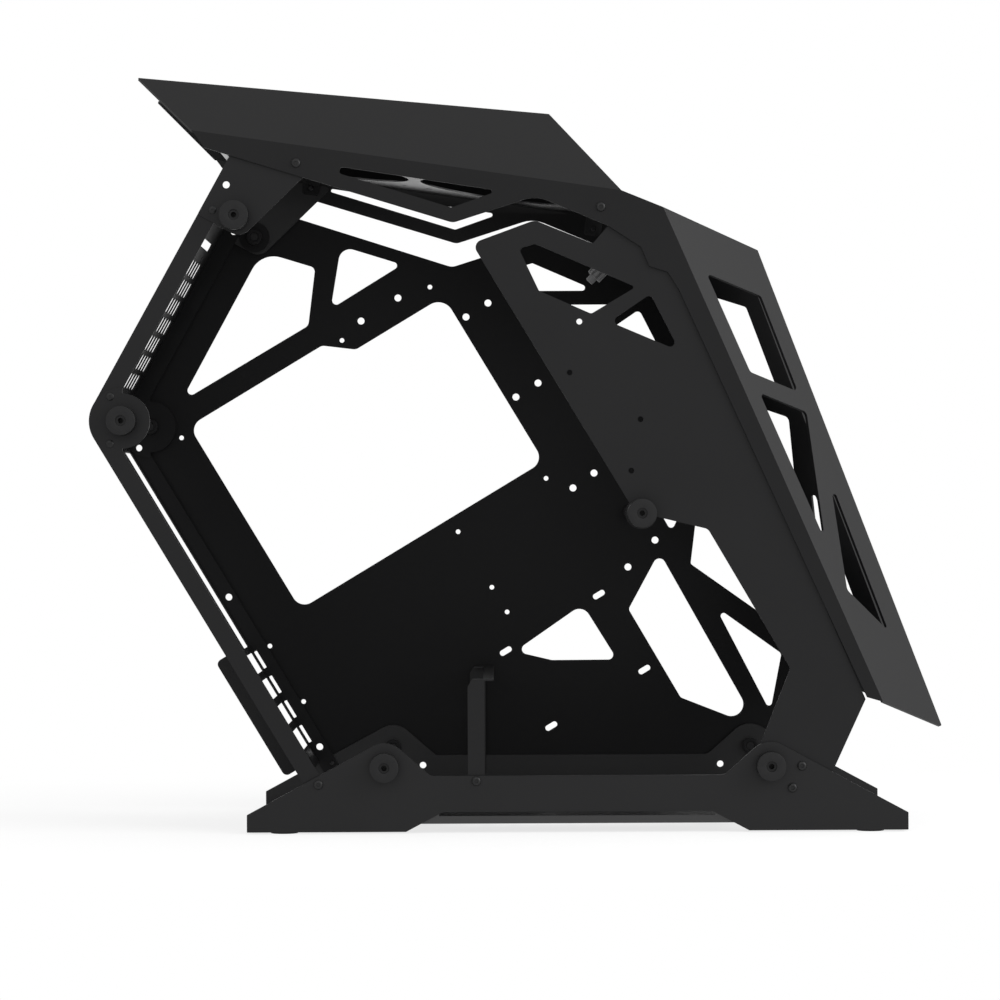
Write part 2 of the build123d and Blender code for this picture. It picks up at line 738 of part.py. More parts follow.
button_heading = direction(-button_panel_angle)
button_normal = direction(90.0 - button_panel_angle)
panel_start = top_fold(top_fan_plate_end + 1.5, fan_plate_drop)
panel_end = meet(panel_start, button_heading, front_fold(0, fan_plate_drop), front_along)
panel_length = math.dist(panel_start, panel_end)
button_point = step(panel_start, button_heading, button_along)
button_plane = lying(panel_start, button_heading)


def button_bracket():
    """Folded sheet across the upper front corner, which carries the power button."""
    body = box_on(button_plane, (0, -sheet_inner), (panel_length, plate_inner), sheet)
    foot = step(panel_start, button_normal, -fan_side_flange)
    ends = [panel_start, panel_end, step(panel_end, button_normal, -fan_side_flange), foot]
    corners = [(*step(ends[0], button_normal, sheet), 0), (*step(ends[1], button_normal, sheet), 0),
               (*step(ends[2], button_heading, -6.0), 2.0), (*step(ends[3], button_heading, 18.0), 2.0)]
    body = body + wall(corners, -sheet_inner, -tab_inner) + wall(corners, sheet_inner, plate_inner)
    return body - punch(button_plane, [(button_along, 0)], barrel_radius + 0.1, 4.0)[0]


front_start = math.dist(front_fold(0, fan_plate_drop), panel_end) + 0.5


def front_fans():
    """Folded sheet behind the front opening, with two fan openings."""
    lay = lying(front_fold(0, fan_plate_drop), front_along)
    body = box_on(lay, (front_start, -sheet_inner), (front_fan_plate_end, plate_inner), sheet)
    strip = [front_fold(front_start, fan_plate_drop - sheet),
             front_fold(front_fan_plate_end, fan_plate_drop - sheet),
             front_fold(front_fan_plate_end, fan_plate_drop + fan_side_flange),
             front_fold(front_start + 8.0, fan_plate_drop + fan_side_flange)]
    body = body + wall(rounded(strip, 0), -sheet_inner, -tab_inner)
    body = body + wall(rounded(strip, 0), sheet_inner, plate_inner)
    tools = []
    for index in range(2):
        middle = (front_start + front_fan_margin + fan_pitch * index, 0)
        tools += punch(lay, [middle], fan_bore_radius, 4.0)
        tools += punch(lay, fan_pattern(middle), fan_hole_radius, 4.0)
    return cut(body, tools)


top_fan_plate = top_fans()
button_panel = button_bracket()
front_fan_plate = front_fans()


# Front side plate and tray

def crest():
    """Upper edge that the near side plate and the tray share, from the peak to the front fold."""
    rise_end = step(side_rise, direction(side_rise_slope), side_rise_length)
    return [(*side_peak, 9.0), (*side_dip, 1.0), (*side_rise, 1.0), (*rise_end, 1.0),
            (*front_fold(1.0, fold_cover + 3.0), 3.0)]


def side_outline():
    """Near side plate, from its upper left corner clockwise."""
    left = step(rear_hub, board_along, side_left_in)
    top_left = meet(left, board_down, side_peak, direction(side_top_slope))
    lobe_entry = meet(left, board_down, side_hub, (1.0, -0.25))
    base_lobe = base_hubs[1]
    return [(*top_left, 5.0), *crest(), (*front_fold(front_fold_length - side_end, fold_cover + 4.5), 1.0),
            (*side_foot, 1.0), (base_lobe[0] + foot_lobe_reach, plate_low + foot_lobe_height, 3.0),
            (base_lobe[0] - 8.0, plate_low + foot_lobe_height, 3.0),
            (*side_leg, 2.0), (*side_knee, 2.0), (*side_shoulder, 5.0), (*lobe_entry, 0.5)]


def side_plate():
    """Near side plate behind the front facet."""
    body = wall(side_outline(), -plate_inner, -sheet_inner)
    body = body + bore(side_hub, side_hub_lobe, -plate_inner, -sheet_inner)
    window = [(*place, corner) for place, corner in zip(upper_window, upper_window_radii)]
    tools = [wall(window, -side_face, 0), wall(rounded(lower_window, 3.0), -side_face, 0)]
    tools += [bore(place, side_hole_radius, -side_face, 0) for place in side_holes]
    tools += [bore(hub, stud_radius + stud_clearance, -side_face, 0) for hub in (side_hub, base_hubs[1])]
    tools += [bore(place, screw_radius, -side_face, 0) for place in (foot_screw, top_fold(*tab_screw_front))]
    return cut(body, tools)


def tray_outline():
    """Tray, from its lower rear corner clockwise in the side view."""
    low_rear = meet(board(panel_in, 0), board_down, (0.0, tray_bottom), (1.0, 0.0))
    rear = meet(board(panel_in, 0), board_down, upper(0, -hub_inset), upper_along)
    top_rear = meet(upper(0, -hub_inset), upper_along, (0.0, tray_top_left), (1.0, 0.0))
    return [(*low_rear, 2.0), (*rear, hub_inset), (*top_rear, 3.0), (*tray_vee, 9.0), *crest(),
            (*front_fold(front_fold_length - tray_end, fold_cover + 1.0), 1.0),
            (*side_foot, 1.0), (base_hubs[1][0] + foot_lobe_reach, tray_bottom, 3.0)]


def tray_windows():
    """Cut-outs of the tray: corner triples in the side view."""
    left, high, right, low = main_cut
    step_low, step_high, step_drop = main_step
    main = [(*board(left, high), main_corner), (*board(step_low, high), 6.0),
            (*board(step_high, high + step_drop), 6.0), (*board(right, high + step_drop), 11.0),
            (*board(right, low), main_corner), (*board(left, low), main_corner)]
    return [main, *plain_windows]


def tray():
    """Far side sheet that holds the board and the drives."""
    body = wall(tray_outline(), side_face, side_face + sheet)
    reach = (side_face - 1, side_face + sheet + 1)
    tools = [wall(corners, *reach) for corners in tray_windows()]
    slope = heading_of(upper_window[1], upper_window[2])
    left = heading_of(upper_window[4], upper_window[0])
    low = heading_of(upper_window[4], upper_window[3])
    upper_part = [(*upper_window[0], rib_corner), (*upper_window[1], rib_corner),
                  (*meet(upper_window[1], slope, (0, rib_high), (1.0, 0.0)), rib_tip),
                  (*meet(upper_window[0], left, (0, rib_high), (1.0, 0.0)), rib_corner)]
    lower_part = [meet(upper_window[3], low, (0, rib_low), (1.0, 0.0)),
                  (upper_window[2][0] - 2.0, rib_low), upper_window[3]]
    tools += [wall(upper_part, *reach), wall(rounded(lower_part, rib_corner), *reach)]
    tools.append(wall(rounded(lower_window, 3.0), *reach))
    holes = [(first_row_offset, board_rows[0]), (board_columns[1], board_rows[0]),
             (board_columns[2], board_rows[0])]
    holes += [(column, board_rows[1]) for column in board_columns]
    holes += [(column, board_rows[2]) for column in board_columns[:2]]
    holes.append(extra_hole)
    tools += [bore(board(*place), standoff_hole_radius, *reach) for place in holes]
    tools += [bore(place, edge_hole_radius, *reach) for place in edge_places]
    tools += [bore(board(*place), edge_hole_radius, *reach) for place in tie_holes]
    tools += [bore(point, far_hole_radius, *reach) for point in far_holes]
    tools += [bore(point, tool_hole_radius, *reach) for point in (lower_rivet, upper_rivet)]
    tools += [bore(point, side_hole_radius, *reach) for point in side_holes[:1]]
    tools += [bore(point, screw_radius, *reach) for point in base_screws[:2]]
    tools += [bore(hub, stud_radius + stud_clearance, *reach)
              for hub in (*base_hubs, rear_hub, upper_hub, side_hub)]
    slots = Plane(origin=(board(0, 0)[0], side_face, board(0, 0)[1]),
                  x_dir=(board_along[0], 0, board_along[1]), z_dir=(0, -1, 0))
    for column in range(2):
        for row in range(2):
            middle = (drive_first[0] + drive_spacing[0] * column,
                      -drive_first[1] - drive_spacing[1] * row)
            tools.append(slot_tool(slots, middle, drive_slot, drive_slot[1] / 2 - 0.1, 3.0))
    return cut(body, tools + side_slots(*reach))


front_side_plate = side_plate()
motherboard_tray = tray()


# Power supply shelf and strap

def supply_shelf():
    """Folded shelf between the foot plates, with a lip along each long side."""
    low = base_mid_x - shelf_reach
    high = base_mid_x + shelf_reach
    top = Plane.XY.offset(shelf_top - sheet)
    body = box_on(top, (low, -plate_inner), (high, plate_inner), sheet)
    lip = wall(rounded([(low, shelf_top), (high, shelf_top), (high, shelf_top - shelf_lip),
                        (low, shelf_top - shelf_lip)], 0), -plate_inner, -sheet_inner)
    body = body + lip + mirrored(lip)
    for ends in ((low, low + shelf_tab_width), (high - shelf_tab_width, high)):
        corners = [(ends[0], shelf_top - sheet, 0), (ends[0], shelf_top + shelf_tab_height, 3.0),
                   (ends[1], shelf_top + shelf_tab_height, 3.0), (ends[1], shelf_top - sheet, 0)]
        near = wall(corners, -plate_inner, -sheet_inner)
        body = body + near + mirrored(near)
    vent_plane = Plane.XY.offset(shelf_top)
    for index in range(shelf_vent_count):
        place = base_mid_x + (index - (shelf_vent_count - 1) / 2) * shelf_vent_pitch
        body = body - slot_tool(vent_plane, (place, 0), shelf_vent, shelf_vent[0] / 2 - 0.2, 4.0)
    return body


strap_top = shelf_top + supply_height + supply_pad + sheet


def supply_strap():
    """Inverted U strap: two legs and a narrow bridge on their right edge."""
    leg_right = strap_x + strap_leg_width
    corners = [(strap_x, strap_leg_foot, 2.0), (leg_right, strap_leg_foot, 2.0), (leg_right, strap_top, 0),
               (strap_x + strap_chamfer, strap_top, 0), (strap_x, strap_top - 1.6 * strap_chamfer, 0)]
    leg = wall(corners, -plate_inner, -sheet_inner) - bore(strap_screw, screw_radius, -side_face, 0)
    top = Plane.XY.offset(strap_top - sheet)
    end = box_on(top, (strap_x + strap_chamfer, -plate_inner),
                 (leg_right, strap_end_depth - plate_inner), sheet)
    bridge = box_on(top, (leg_right - 1.0, -plate_inner),
                    (leg_right + strap_bridge_width - 1.0, plate_inner), sheet)
    return leg + mirrored(leg) + end + mirrored(end) + bridge


power_supply_shelf = supply_shelf()
power_supply_strap = supply_strap()


# Posts, washers, nuts and spacers

hub_seats = [(upper_hub, plate_inner, tab_inner), (rear_hub, plate_inner, tab_inner),
             (base_hubs[0], side_face, plate_inner), (base_hubs[1], side_face, sheet_inner),
             (side_hub, plate_inner, sheet_inner)]
far_inner = {0: tab_inner, 1: tab_inner, 2: plate_inner, 3: plate_inner, 4: side_face}


def post(hub, seat, inner):
    """Left post with its stud and its threaded hole."""
    top = glass_plane - washer_height
    body = bore(hub, post_radius, -top, -seat)
    stud = bore(hub, stud_radius, -seat, -inner + nut_height)
    return body + stud - bore(hub, post_thread_radius, -top - 1, -top + post_thread_depth)


def washer(hub):
    """Left rubber washer on a post's face."""
    top = glass_plane - washer_height
    return bore(hub, post_radius, -glass_plane, -top) - bore(hub, washer_bore, -glass_plane - 1, -top + 1)


def nut(hub, inner, side):
    """Round nut inside the sheets, on a post's stud."""
    low, high = sorted((side * inner, side * (inner - nut_height)))
    return bore(hub, nut_radius, low, high) - bore(hub, stud_radius, low - 1, high + 1)


tray_outer = side_face + sheet
posts_left = [post(hub, seat, inner) for hub, seat, inner in hub_seats]
posts_right = [mirrored(post(hub, tray_outer, far_inner[index]))
               for index, (hub, seat, inner) in enumerate(hub_seats)]
washers_left = [washer(hub) for hub, seat, inner in hub_seats]
washers_right = [mirrored(piece) for piece in washers_left]
nuts = [nut(hub, inner, -1) for hub, seat, inner in hub_seats]
nuts += [nut(hub, far_inner[index], 1) for index, (hub, seat, inner) in enumerate(hub_seats)]
spacers = [bore(hub, nut_radius + 1.5, plate_inner, side_face)
           - bore(hub, stud_radius + stud_clearance, plate_inner - 1, side_face + 1)
           for hub in (upper_hub, rear_hub)]


# Screws and rivets

def screw(place, side, face):
    """Button head screw from outside, with a hexagon socket."""
    lay = Plane(origin=(place[0], side * face, place[1]), x_dir=(1, 0, 0), z_dir=(0, side, 0))
    head = extrude(lay * Circle(screw_head_radius), amount=screw_head_height, dir=lay.z_dir)
    rim = head.edges().filter_by(GeomType.CIRCLE).sort_by(Axis.Y)[-1 if side > 0 else 0]
    head = fillet(rim, screw_head_height * 0.55)
    shank = extrude(lay * Circle(screw_radius), amount=-screw_length, dir=lay.z_dir)
    socket = extrude(lay.offset(screw_head_height - 1.0) * RegularPolygon(screw_socket, 6), amount=2.0,
                     dir=lay.z_dir)
    return head + shank - socket


def rivet(place, side, face, back):
    """Blind rivet with a domed head outside."""
    lay = Plane(origin=(place[0], side * face, place[1]), x_dir=(1, 0, 0), z_dir=(0, side, 0))
    head = extrude(lay * Circle(rivet_head_radius), amount=rivet_head_height, dir=lay.z_dir)
    rim = head.edges().filter_by(GeomType.CIRCLE).sort_by(Axis.Y)[-1 if side > 0 else 0]
    head = fillet(rim, rivet_head_height * 0.8)
    return head + extrude(lay * Circle(rivet_radius), amount=back - face, dir=lay.z_dir)


cover_screws = [top_fold(*tab_screw_rear), top_fold(*tab_screw_front)]
screws_left = [screw(place, -1, side_face) for place in base_screws + cover_screws]
screws_right = [screw(place, 1, tray_outer) for place in base_screws[:2]]
screws_right += [screw(place, 1, side_face) for place in cover_screws]
rivets = [rivet(place, -1, plate_inner, tab_inner - 1.0)
          for place in (lower_rivet, middle_rivet, upper_rivet)]
rivets.append(rivet(middle_rivet, 1, plate_inner, tab_inner - 1.0))
for along, across in ledge_rivets:
    spot = board(panel_in - sheet, along)
    lay = Plane(origin=(spot[0], across, spot[1]), x_dir=(0, 1, 0), z_dir=(-board_along[0], 0, -board_along[1]))
    shank = extrude(lay * Circle(rivet_radius), amount=-2 * sheet - 1.0, dir=lay.z_dir)
    rivets.append(extrude(lay * Circle(rivet_head_radius), amount=rivet_head_height, dir=lay.z_dir) + shank)


# Power button

button_lay = Plane(origin=(button_point[0], 0, button_point[1]), x_dir=(0, 1, 0),
                   z_dir=(button_normal[0], 0, button_normal[1]))


def disc(radius, low, high):
    """Cylinder on the button's axis, between two heights above the panel's inner face."""
    return extrude(button_lay.offset(low) * Circle(radius), amount=high - low, dir=button_lay.z_dir)


cap_top = sheet + bezel_height + cap_proud
cap_floor = cap_top - cap_head - cap_stem_length
body_end = sheet - barrel_length
tail_end = body_end - tail_length
cavity_floor = cap_floor - cap_travel - 4.0


def button_body():
    """Bezel, threaded barrel and grooved plug housing, hollow for the cap and its spring."""
    body = disc(bezel_radius, sheet, sheet + bezel_height) + disc(barrel_radius, body_end, sheet)
    body = body + disc(tail_radius, tail_end, body_end)
    body = body + disc(tip_radius, tail_end - tip_length, tail_end)
    depth, width = tail_groove
    for index in range(tail_groove_count):
        turn = button_lay.offset((tail_end + body_end) / 2) * Rot(0, 0, 360.0 / tail_groove_count * index)
        body = body - turn * Pos(tail_radius, 0, 0) * Box(2 * depth, width, tail_length)
    pocket = disc(cap_radius + cap_gap, sheet - spring_pocket, cap_top)
    throat = disc(cap_stem_radius + cap_gap, cavity_floor, sheet)
    return body - pocket - throat


def button_cap():
    """Round cap with its stem."""
    return disc(cap_radius, cap_top - cap_head, cap_top) + disc(cap_stem_radius, cap_floor, cap_top - 1.0)


def button_nut():
    """Hexagon nut behind the panel."""
    body = extrude(button_lay.offset(-button_nut_height) * RegularPolygon(button_nut_radius, 6),
                   amount=button_nut_height, dir=button_lay.z_dir)
    return body - disc(barrel_radius, -button_nut_height - 1, 1)


def button_spring():
    """Return spring under the cap, at the height it has with the cap pressed in."""
    low = sheet - spring_pocket + spring_wire
    high = cap_top - cap_head - cap_travel - spring_wire - 0.3
    coil = Helix((high - low) / spring_turns, high - low, spring_radius)
    wire = sweep(Plane(coil @ 0, z_dir=coil % 0) * Circle(spring_wire), path=coil)
    return button_lay.offset(low) * wire


nodes = {
    "base_plate_left": base_left,
    "base_plate_right": base_right,
    "rubber_feet": as_group(pads),
    "rear_lower_panel": rear_lower_panel,
    "rear_upper_panel": rear_upper_panel,
    "slot_screw_ledge": slot_screw_ledge,
    "top_rear_bracket_left": bracket_left,
    "top_rear_bracket_right": bracket_right,
    "cover_left": cover_left,
    "cover_right": cover_right,
    "top_fan_plate": top_fan_plate,
    "front_fan_plate": front_fan_plate,
    "button_panel": button_panel,
    "front_side_plate": front_side_plate,
    "motherboard_tray": motherboard_tray,
    "power_supply_shelf": power_supply_shelf,
    "power_supply_strap": power_supply_strap,
    "glass_posts_left": as_group(posts_left),
    "glass_posts_right": as_group(posts_right),
    "post_washers_left": as_group(washers_left),
    "post_washers_right": as_group(washers_right),
    "post_nuts": as_group(nuts),
    "tray_spacers": as_group(spacers),
    "frame_screws_left": as_group(screws_left),
    "frame_screws_right": as_group(screws_right),
    "frame_rivets": as_group(rivets),
    "power_button_body": button_body(),
    "power_button_cap": button_cap(),
    "power_button_nut": button_nut(),
    "power_button_spring": button_spring(),
}

os.makedirs("parts", exist_ok=True)
for name, solid in nodes.items():
    export_step(solid, f"parts/{name}.step")
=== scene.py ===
"""Looks of an open-frame computer case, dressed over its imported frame.

Everything is in metres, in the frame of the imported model: +X to the front of the case, -Y to its open
left side and +Z up, with the origin on the ground below the middle.
"""
import logging
import math
from dataclasses import dataclass, field, replace
from enum import Enum
from typing import Any, Optional, Union

import bmesh
import bpy
from mathutils import Matrix, Vector


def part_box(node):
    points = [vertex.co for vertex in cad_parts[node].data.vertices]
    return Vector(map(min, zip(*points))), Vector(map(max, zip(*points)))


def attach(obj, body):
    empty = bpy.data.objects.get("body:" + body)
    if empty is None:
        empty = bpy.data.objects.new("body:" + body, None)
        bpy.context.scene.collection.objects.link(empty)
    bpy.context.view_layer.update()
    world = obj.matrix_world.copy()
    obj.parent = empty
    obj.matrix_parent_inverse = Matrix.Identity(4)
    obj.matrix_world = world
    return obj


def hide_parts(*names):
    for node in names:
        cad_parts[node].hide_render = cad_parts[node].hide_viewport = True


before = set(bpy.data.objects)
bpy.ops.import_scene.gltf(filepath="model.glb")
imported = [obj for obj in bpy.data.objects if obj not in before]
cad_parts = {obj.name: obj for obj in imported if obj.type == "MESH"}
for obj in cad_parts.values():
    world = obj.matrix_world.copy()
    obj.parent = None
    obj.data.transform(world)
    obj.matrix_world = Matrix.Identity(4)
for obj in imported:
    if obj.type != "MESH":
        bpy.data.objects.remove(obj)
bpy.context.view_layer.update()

LOG = logging.getLogger("computer_case")
BODY = "frame"
MM = 0.001
WELD = 0.001 * MM
BOARD_TURN = math.radians(31.0)
BUTTON_AXIS = (math.sqrt(0.5), 0.0, math.sqrt(0.5))

Point = tuple[float, float, float]
Colour = tuple[float, float, float]


class Slot(Enum):
    """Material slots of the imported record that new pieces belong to."""

    PAINT = "black_paint"
    COVER = "cover_paint"
    POST = "black_aluminium"
    RUBBER = "black_rubber"
    SCREW = "black_steel"
    RIVET = "rivet_metal"
    BUTTON = "button_metal"


class Wire:
    """One output socket of a node tree, with the arithmetic of numbers."""

    def __init__(self, graph: "NodeGraph", socket: bpy.types.NodeSocket) -> None:
        """Keeps the socket with the tree that it belongs to."""
        self.graph = graph
        self.socket = socket

    def other(self, output: Union[int, str]) -> "Wire":
        """Another output of the same node."""
        return Wire(self.graph, self.socket.node.outputs[output])

    def _math(self, operation: str, first: Any, second: Any = 0.0) -> "Wire":
        """Adds one Math node.

        Args:
            operation: The Math node's operation.
            first: Its first value or wire.
            second: Its second value or wire.

        Returns:
            The result's wire.
        """
        return self.graph.add("ShaderNodeMath", {0: first, 1: second}, operation=operation)

    def __add__(self, other: Any) -> "Wire":
        """Sum."""
        return self._math("ADD", self, other)

    def __radd__(self, other: Any) -> "Wire":
        """Sum with a number on the left."""
        return self._math("ADD", other, self)

    def __sub__(self, other: Any) -> "Wire":
        """Difference."""
        return self._math("SUBTRACT", self, other)

    def __rsub__(self, other: Any) -> "Wire":
        """Difference from a number on the left."""
        return self._math("SUBTRACT", other, self)

    def __mul__(self, other: Any) -> "Wire":
        """Product."""
        return self._math("MULTIPLY", self, other)

    def __rmul__(self, other: Any) -> "Wire":
        """Product with a number on the left."""
        return self._math("MULTIPLY", other, self)

    def __truediv__(self, other: Any) -> "Wire":
        """Quotient."""
        return self._math("DIVIDE", self, other)

    def __neg__(self) -> "Wire":
        """Negative."""
        return self._math("MULTIPLY", self, -1.0)

    def sine(self) -> "Wire":
        """Sine of an angle in radians."""
        return self._math("SINE", self)

    def larger(self, other: Any) -> "Wire":
        """The larger of two values."""
        return self._math("MAXIMUM", self, other)

    def smaller(self, other: Any) -> "Wire":
        """The smaller of two values."""
        return self._math("MINIMUM", self, other)


class NodeGraph:
    """A node tree that is filled from Python."""

    def __init__(self, tree: bpy.types.NodeTree) -> None:
        """Starts on an emptied tree."""
        self.tree = tree
        self.tree.nodes.clear()

    def add(self, kind: str, inputs: Optional[dict[Union[int, str], Any]] = None,
            output: Union[int, str] = 0, **settings: Any) -> Wire:
        """Adds one node: its settings come first and its sockets after them.

        Args:
            kind: The node's type.
            inputs: Values, wires or lists of wires, by input socket.
            output: The output that is wanted.
            settings: The node's own settings.

        Returns:
            The wanted output's wire, or the first input's where a node has no outputs.
        """
        node = self.tree.nodes.new(kind)
        for key, value in settings.items():
            setattr(node, key, value)
        for key, value in (inputs or {}).items():
            socket = node.inputs[key]
            for item in value if isinstance(value, list) else [value]:
                if isinstance(item, Wire):
                    self.tree.links.new(item.socket, socket)
                else:
                    socket.default_value = (*item, 1.0) if socket.type == "RGBA" else item
        return Wire(self, (node.outputs if len(node.outputs) else node.inputs)[output])


class ShaderGraph(NodeGraph):
    """A material's tree, read in Object coordinates."""

    def __init__(self, name: str) -> None:
        """Makes a material with this name and opens its tree."""
        self.material = bpy.data.materials.new(name)
        self.material.use_nodes = True
        super().__init__(self.material.node_tree)
        self.place = self.add("ShaderNodeTexCoord", output="Object")

    def noise(self, pitch: float, detail: float = 2.0, roughness: float = 0.5) -> Wire:
        """Noise from 0 to 1.

        Args:
            pitch: Rough size of one lump, in metres.
            detail: Octaves.
            roughness: Weight of the finer octaves.

        Returns:
            The noise value.
        """
        return self.add("ShaderNodeTexNoise", {"Vector": self.place, "Scale": 1.0 / pitch, "Detail": detail,
                                               "Roughness": roughness})

    def tint(self, factor: Wire, dark: Colour, light: Colour) -> Wire:
        """Mix of two colours.

        Args:
            factor: 0 gives the dark colour and 1 the light one.
            dark: Linear colour.
            light: Linear colour.

        Returns:
            The colour.
        """
        return self.add("ShaderNodeMix", {0: factor, 6: dark, 7: light}, output=2, data_type="RGBA")

    def bump(self, height: Wire, depth: float, strength: float) -> Wire:
        """Normal from a height.

        Args:
            height: Height from 0 to 1.
            depth: Depth of the relief, in metres.
            strength: Share of it that is used.

        Returns:
            The normal.
        """
        return self.add("ShaderNodeBump", {"Height": height, "Distance": depth, "Strength": strength})

    def close(self, **sockets: Any) -> bpy.types.Material:
        """Ends the tree in a Principled shader.

        Args:
            sockets: Its inputs, with spaces written as underscores.

        Returns:
            The material.
        """
        inputs = {key.replace("_", " "): value for key, value in sockets.items()}
        shader = self.add("ShaderNodeBsdfPrincipled", inputs)
        self.add("ShaderNodeOutputMaterial", {"Surface": shader})
        return self.material


def shaded(colour: Colour, factor: float) -> Colour:
    """A colour made darker or lighter by a factor."""
    return (colour[0] * factor, colour[1] * factor, colour[2] * factor)


@dataclass(frozen=True)
class PowderCoat:
    """Baked black coat: a fine orange peel over sheet metal, with slow drifts of gloss."""

    name: str
    colour: Colour
    roughness: float
    specular: float
    peel_pitch: float = 1.1 * MM
    peel_depth: float = 0.03 * MM
    drift_pitch: float = 60.0 * MM
    speck_pitch: float = 0.45 * MM
    spread: float = 0.25

    def material(self) -> bpy.types.Material:
        """Builds the finish."""
        graph = ShaderGraph(self.name)
        drift = graph.noise(self.drift_pitch, 3.0)
        peel = graph.noise(self.peel_pitch, 2.0, 0.6)
        speck = graph.noise(self.speck_pitch, 1.0)
        colour = graph.tint(drift * 0.6 + speck * 0.4, shaded(self.colour, 1.0 - self.spread),
                            shaded(self.colour, 1.0 + self.spread))
        return graph.close(Base_Color=colour,
                           Roughness=self.roughness - 0.06 + drift * 0.07 + speck * 0.05,
                           Specular_IOR_Level=self.specular,
                           Normal=graph.bump(peel, self.peel_depth, 0.35))


@dataclass(frozen=True)
class TurnedFinish:
    """Metal turned on a lathe: fine rings that follow the radius kept on each turned piece."""

    name: str
    colour: Colour
    roughness: float
    metallic: float
    specular: float
    ring_pitch: float = 0.3 * MM
    grain_pitch: float = 0.5 * MM
    spread: float = 0.15

    def material(self) -> bpy.types.Material:
        """Builds the finish."""
        graph = ShaderGraph(self.name)
        radius = graph.add("ShaderNodeAttribute", output="Fac", attribute_name="turning")
        rings = (radius * (2.0 * math.pi / self.ring_pitch)).sine() * 0.5 + 0.5
        grain = graph.noise(self.grain_pitch, 2.0)
        colour = graph.tint(grain, shaded(self.colour, 1.0 - self.spread),
                            shaded(self.colour, 1.0 + self.spread))
        return graph.close(Base_Color=colour, Metallic=self.metallic,
                           Roughness=self.roughness - 0.04 + grain * 0.08,
                           Specular_IOR_Level=self.specular,
                           Normal=graph.bump(rings * 0.7 + grain * 0.3, 0.01 * MM, 0.4))


@dataclass(frozen=True)
class BarrelFinish:
    """Bright metal turned about the power button's axis, with rings across that axis."""

    name: str
    colour: Colour
    roughness: float
    axis: Point = BUTTON_AXIS
    ring_pitch: float = 0.35 * MM
    grain_pitch: float = 0.6 * MM

    def material(self) -> bpy.types.Material:
        """Builds the finish."""
        graph = ShaderGraph(self.name)
        along = graph.add("ShaderNodeVectorMath", {0: graph.place, 1: self.axis}, output="Value",
                          operation="DOT_PRODUCT")
        rings = (along * (2.0 * math.pi / self.ring_pitch)).sine() * 0.5 + 0.5
        grain = graph.noise(self.grain_pitch, 3.0)
        colour = graph.tint(grain, shaded(self.colour, 0.86), self.colour)
        return graph.close(Base_Color=colour, Metallic=1.0,
                           Roughness=self.roughness - 0.05 + grain * 0.1,
                           Normal=graph.bump(rings * 0.6 + grain * 0.4, 0.012 * MM, 0.4))


@dataclass(frozen=True)
class SmallMetal:
    """Screws, nuts, wire and the plug: an even skin with a soft grain and clouded tone."""

    name: str
    colour: Colour
    roughness: float
    metallic: float
    specular: float
    grain_pitch: float = 0.8 * MM
    spread: float = 0.18

    def material(self) -> bpy.types.Material:
        """Builds the finish."""
        graph = ShaderGraph(self.name)
        grain = graph.noise(self.grain_pitch, 3.0)
        cloud = graph.noise(6.0 * self.grain_pitch, 2.0)
        colour = graph.tint(cloud, shaded(self.colour, 1.0 - self.spread),
                            shaded(self.colour, 1.0 + self.spread))
        return graph.close(Base_Color=colour, Metallic=self.metallic,
                           Roughness=self.roughness - 0.05 + grain * 0.1,
                           Specular_IOR_Level=self.specular,
                           Normal=graph.bump(grain, 0.01 * MM, 0.25))


@dataclass(frozen=True)
class Rubber:
    """Dull black rubber with a pebbled skin."""

    name: str
    colour: Colour = (0.009, 0.009, 0.0094)
    roughness: float = 0.52
    specular: float = 0.2
    pebble_pitch: float = 0.6 * MM
    dust_pitch: float = 4.0 * MM

    def material(self) -> bpy.types.Material:
        """Builds the finish."""
        graph = ShaderGraph(self.name)
        pebbles = graph.add("ShaderNodeTexVoronoi", {"Vector": graph.place, "Scale": 1.0 / self.pebble_pitch},
                            output="Distance")
        dust = graph.noise(self.dust_pitch, 3.0)
        colour = graph.tint(dust, shaded(self.colour, 0.75), shaded(self.colour, 1.35))
        return graph.close(Base_Color=colour, Roughness=self.roughness + dust * 0.12,
                           Specular_IOR_Level=self.specular,
                           Normal=graph.bump(pebbles, 0.04 * MM, 0.4))


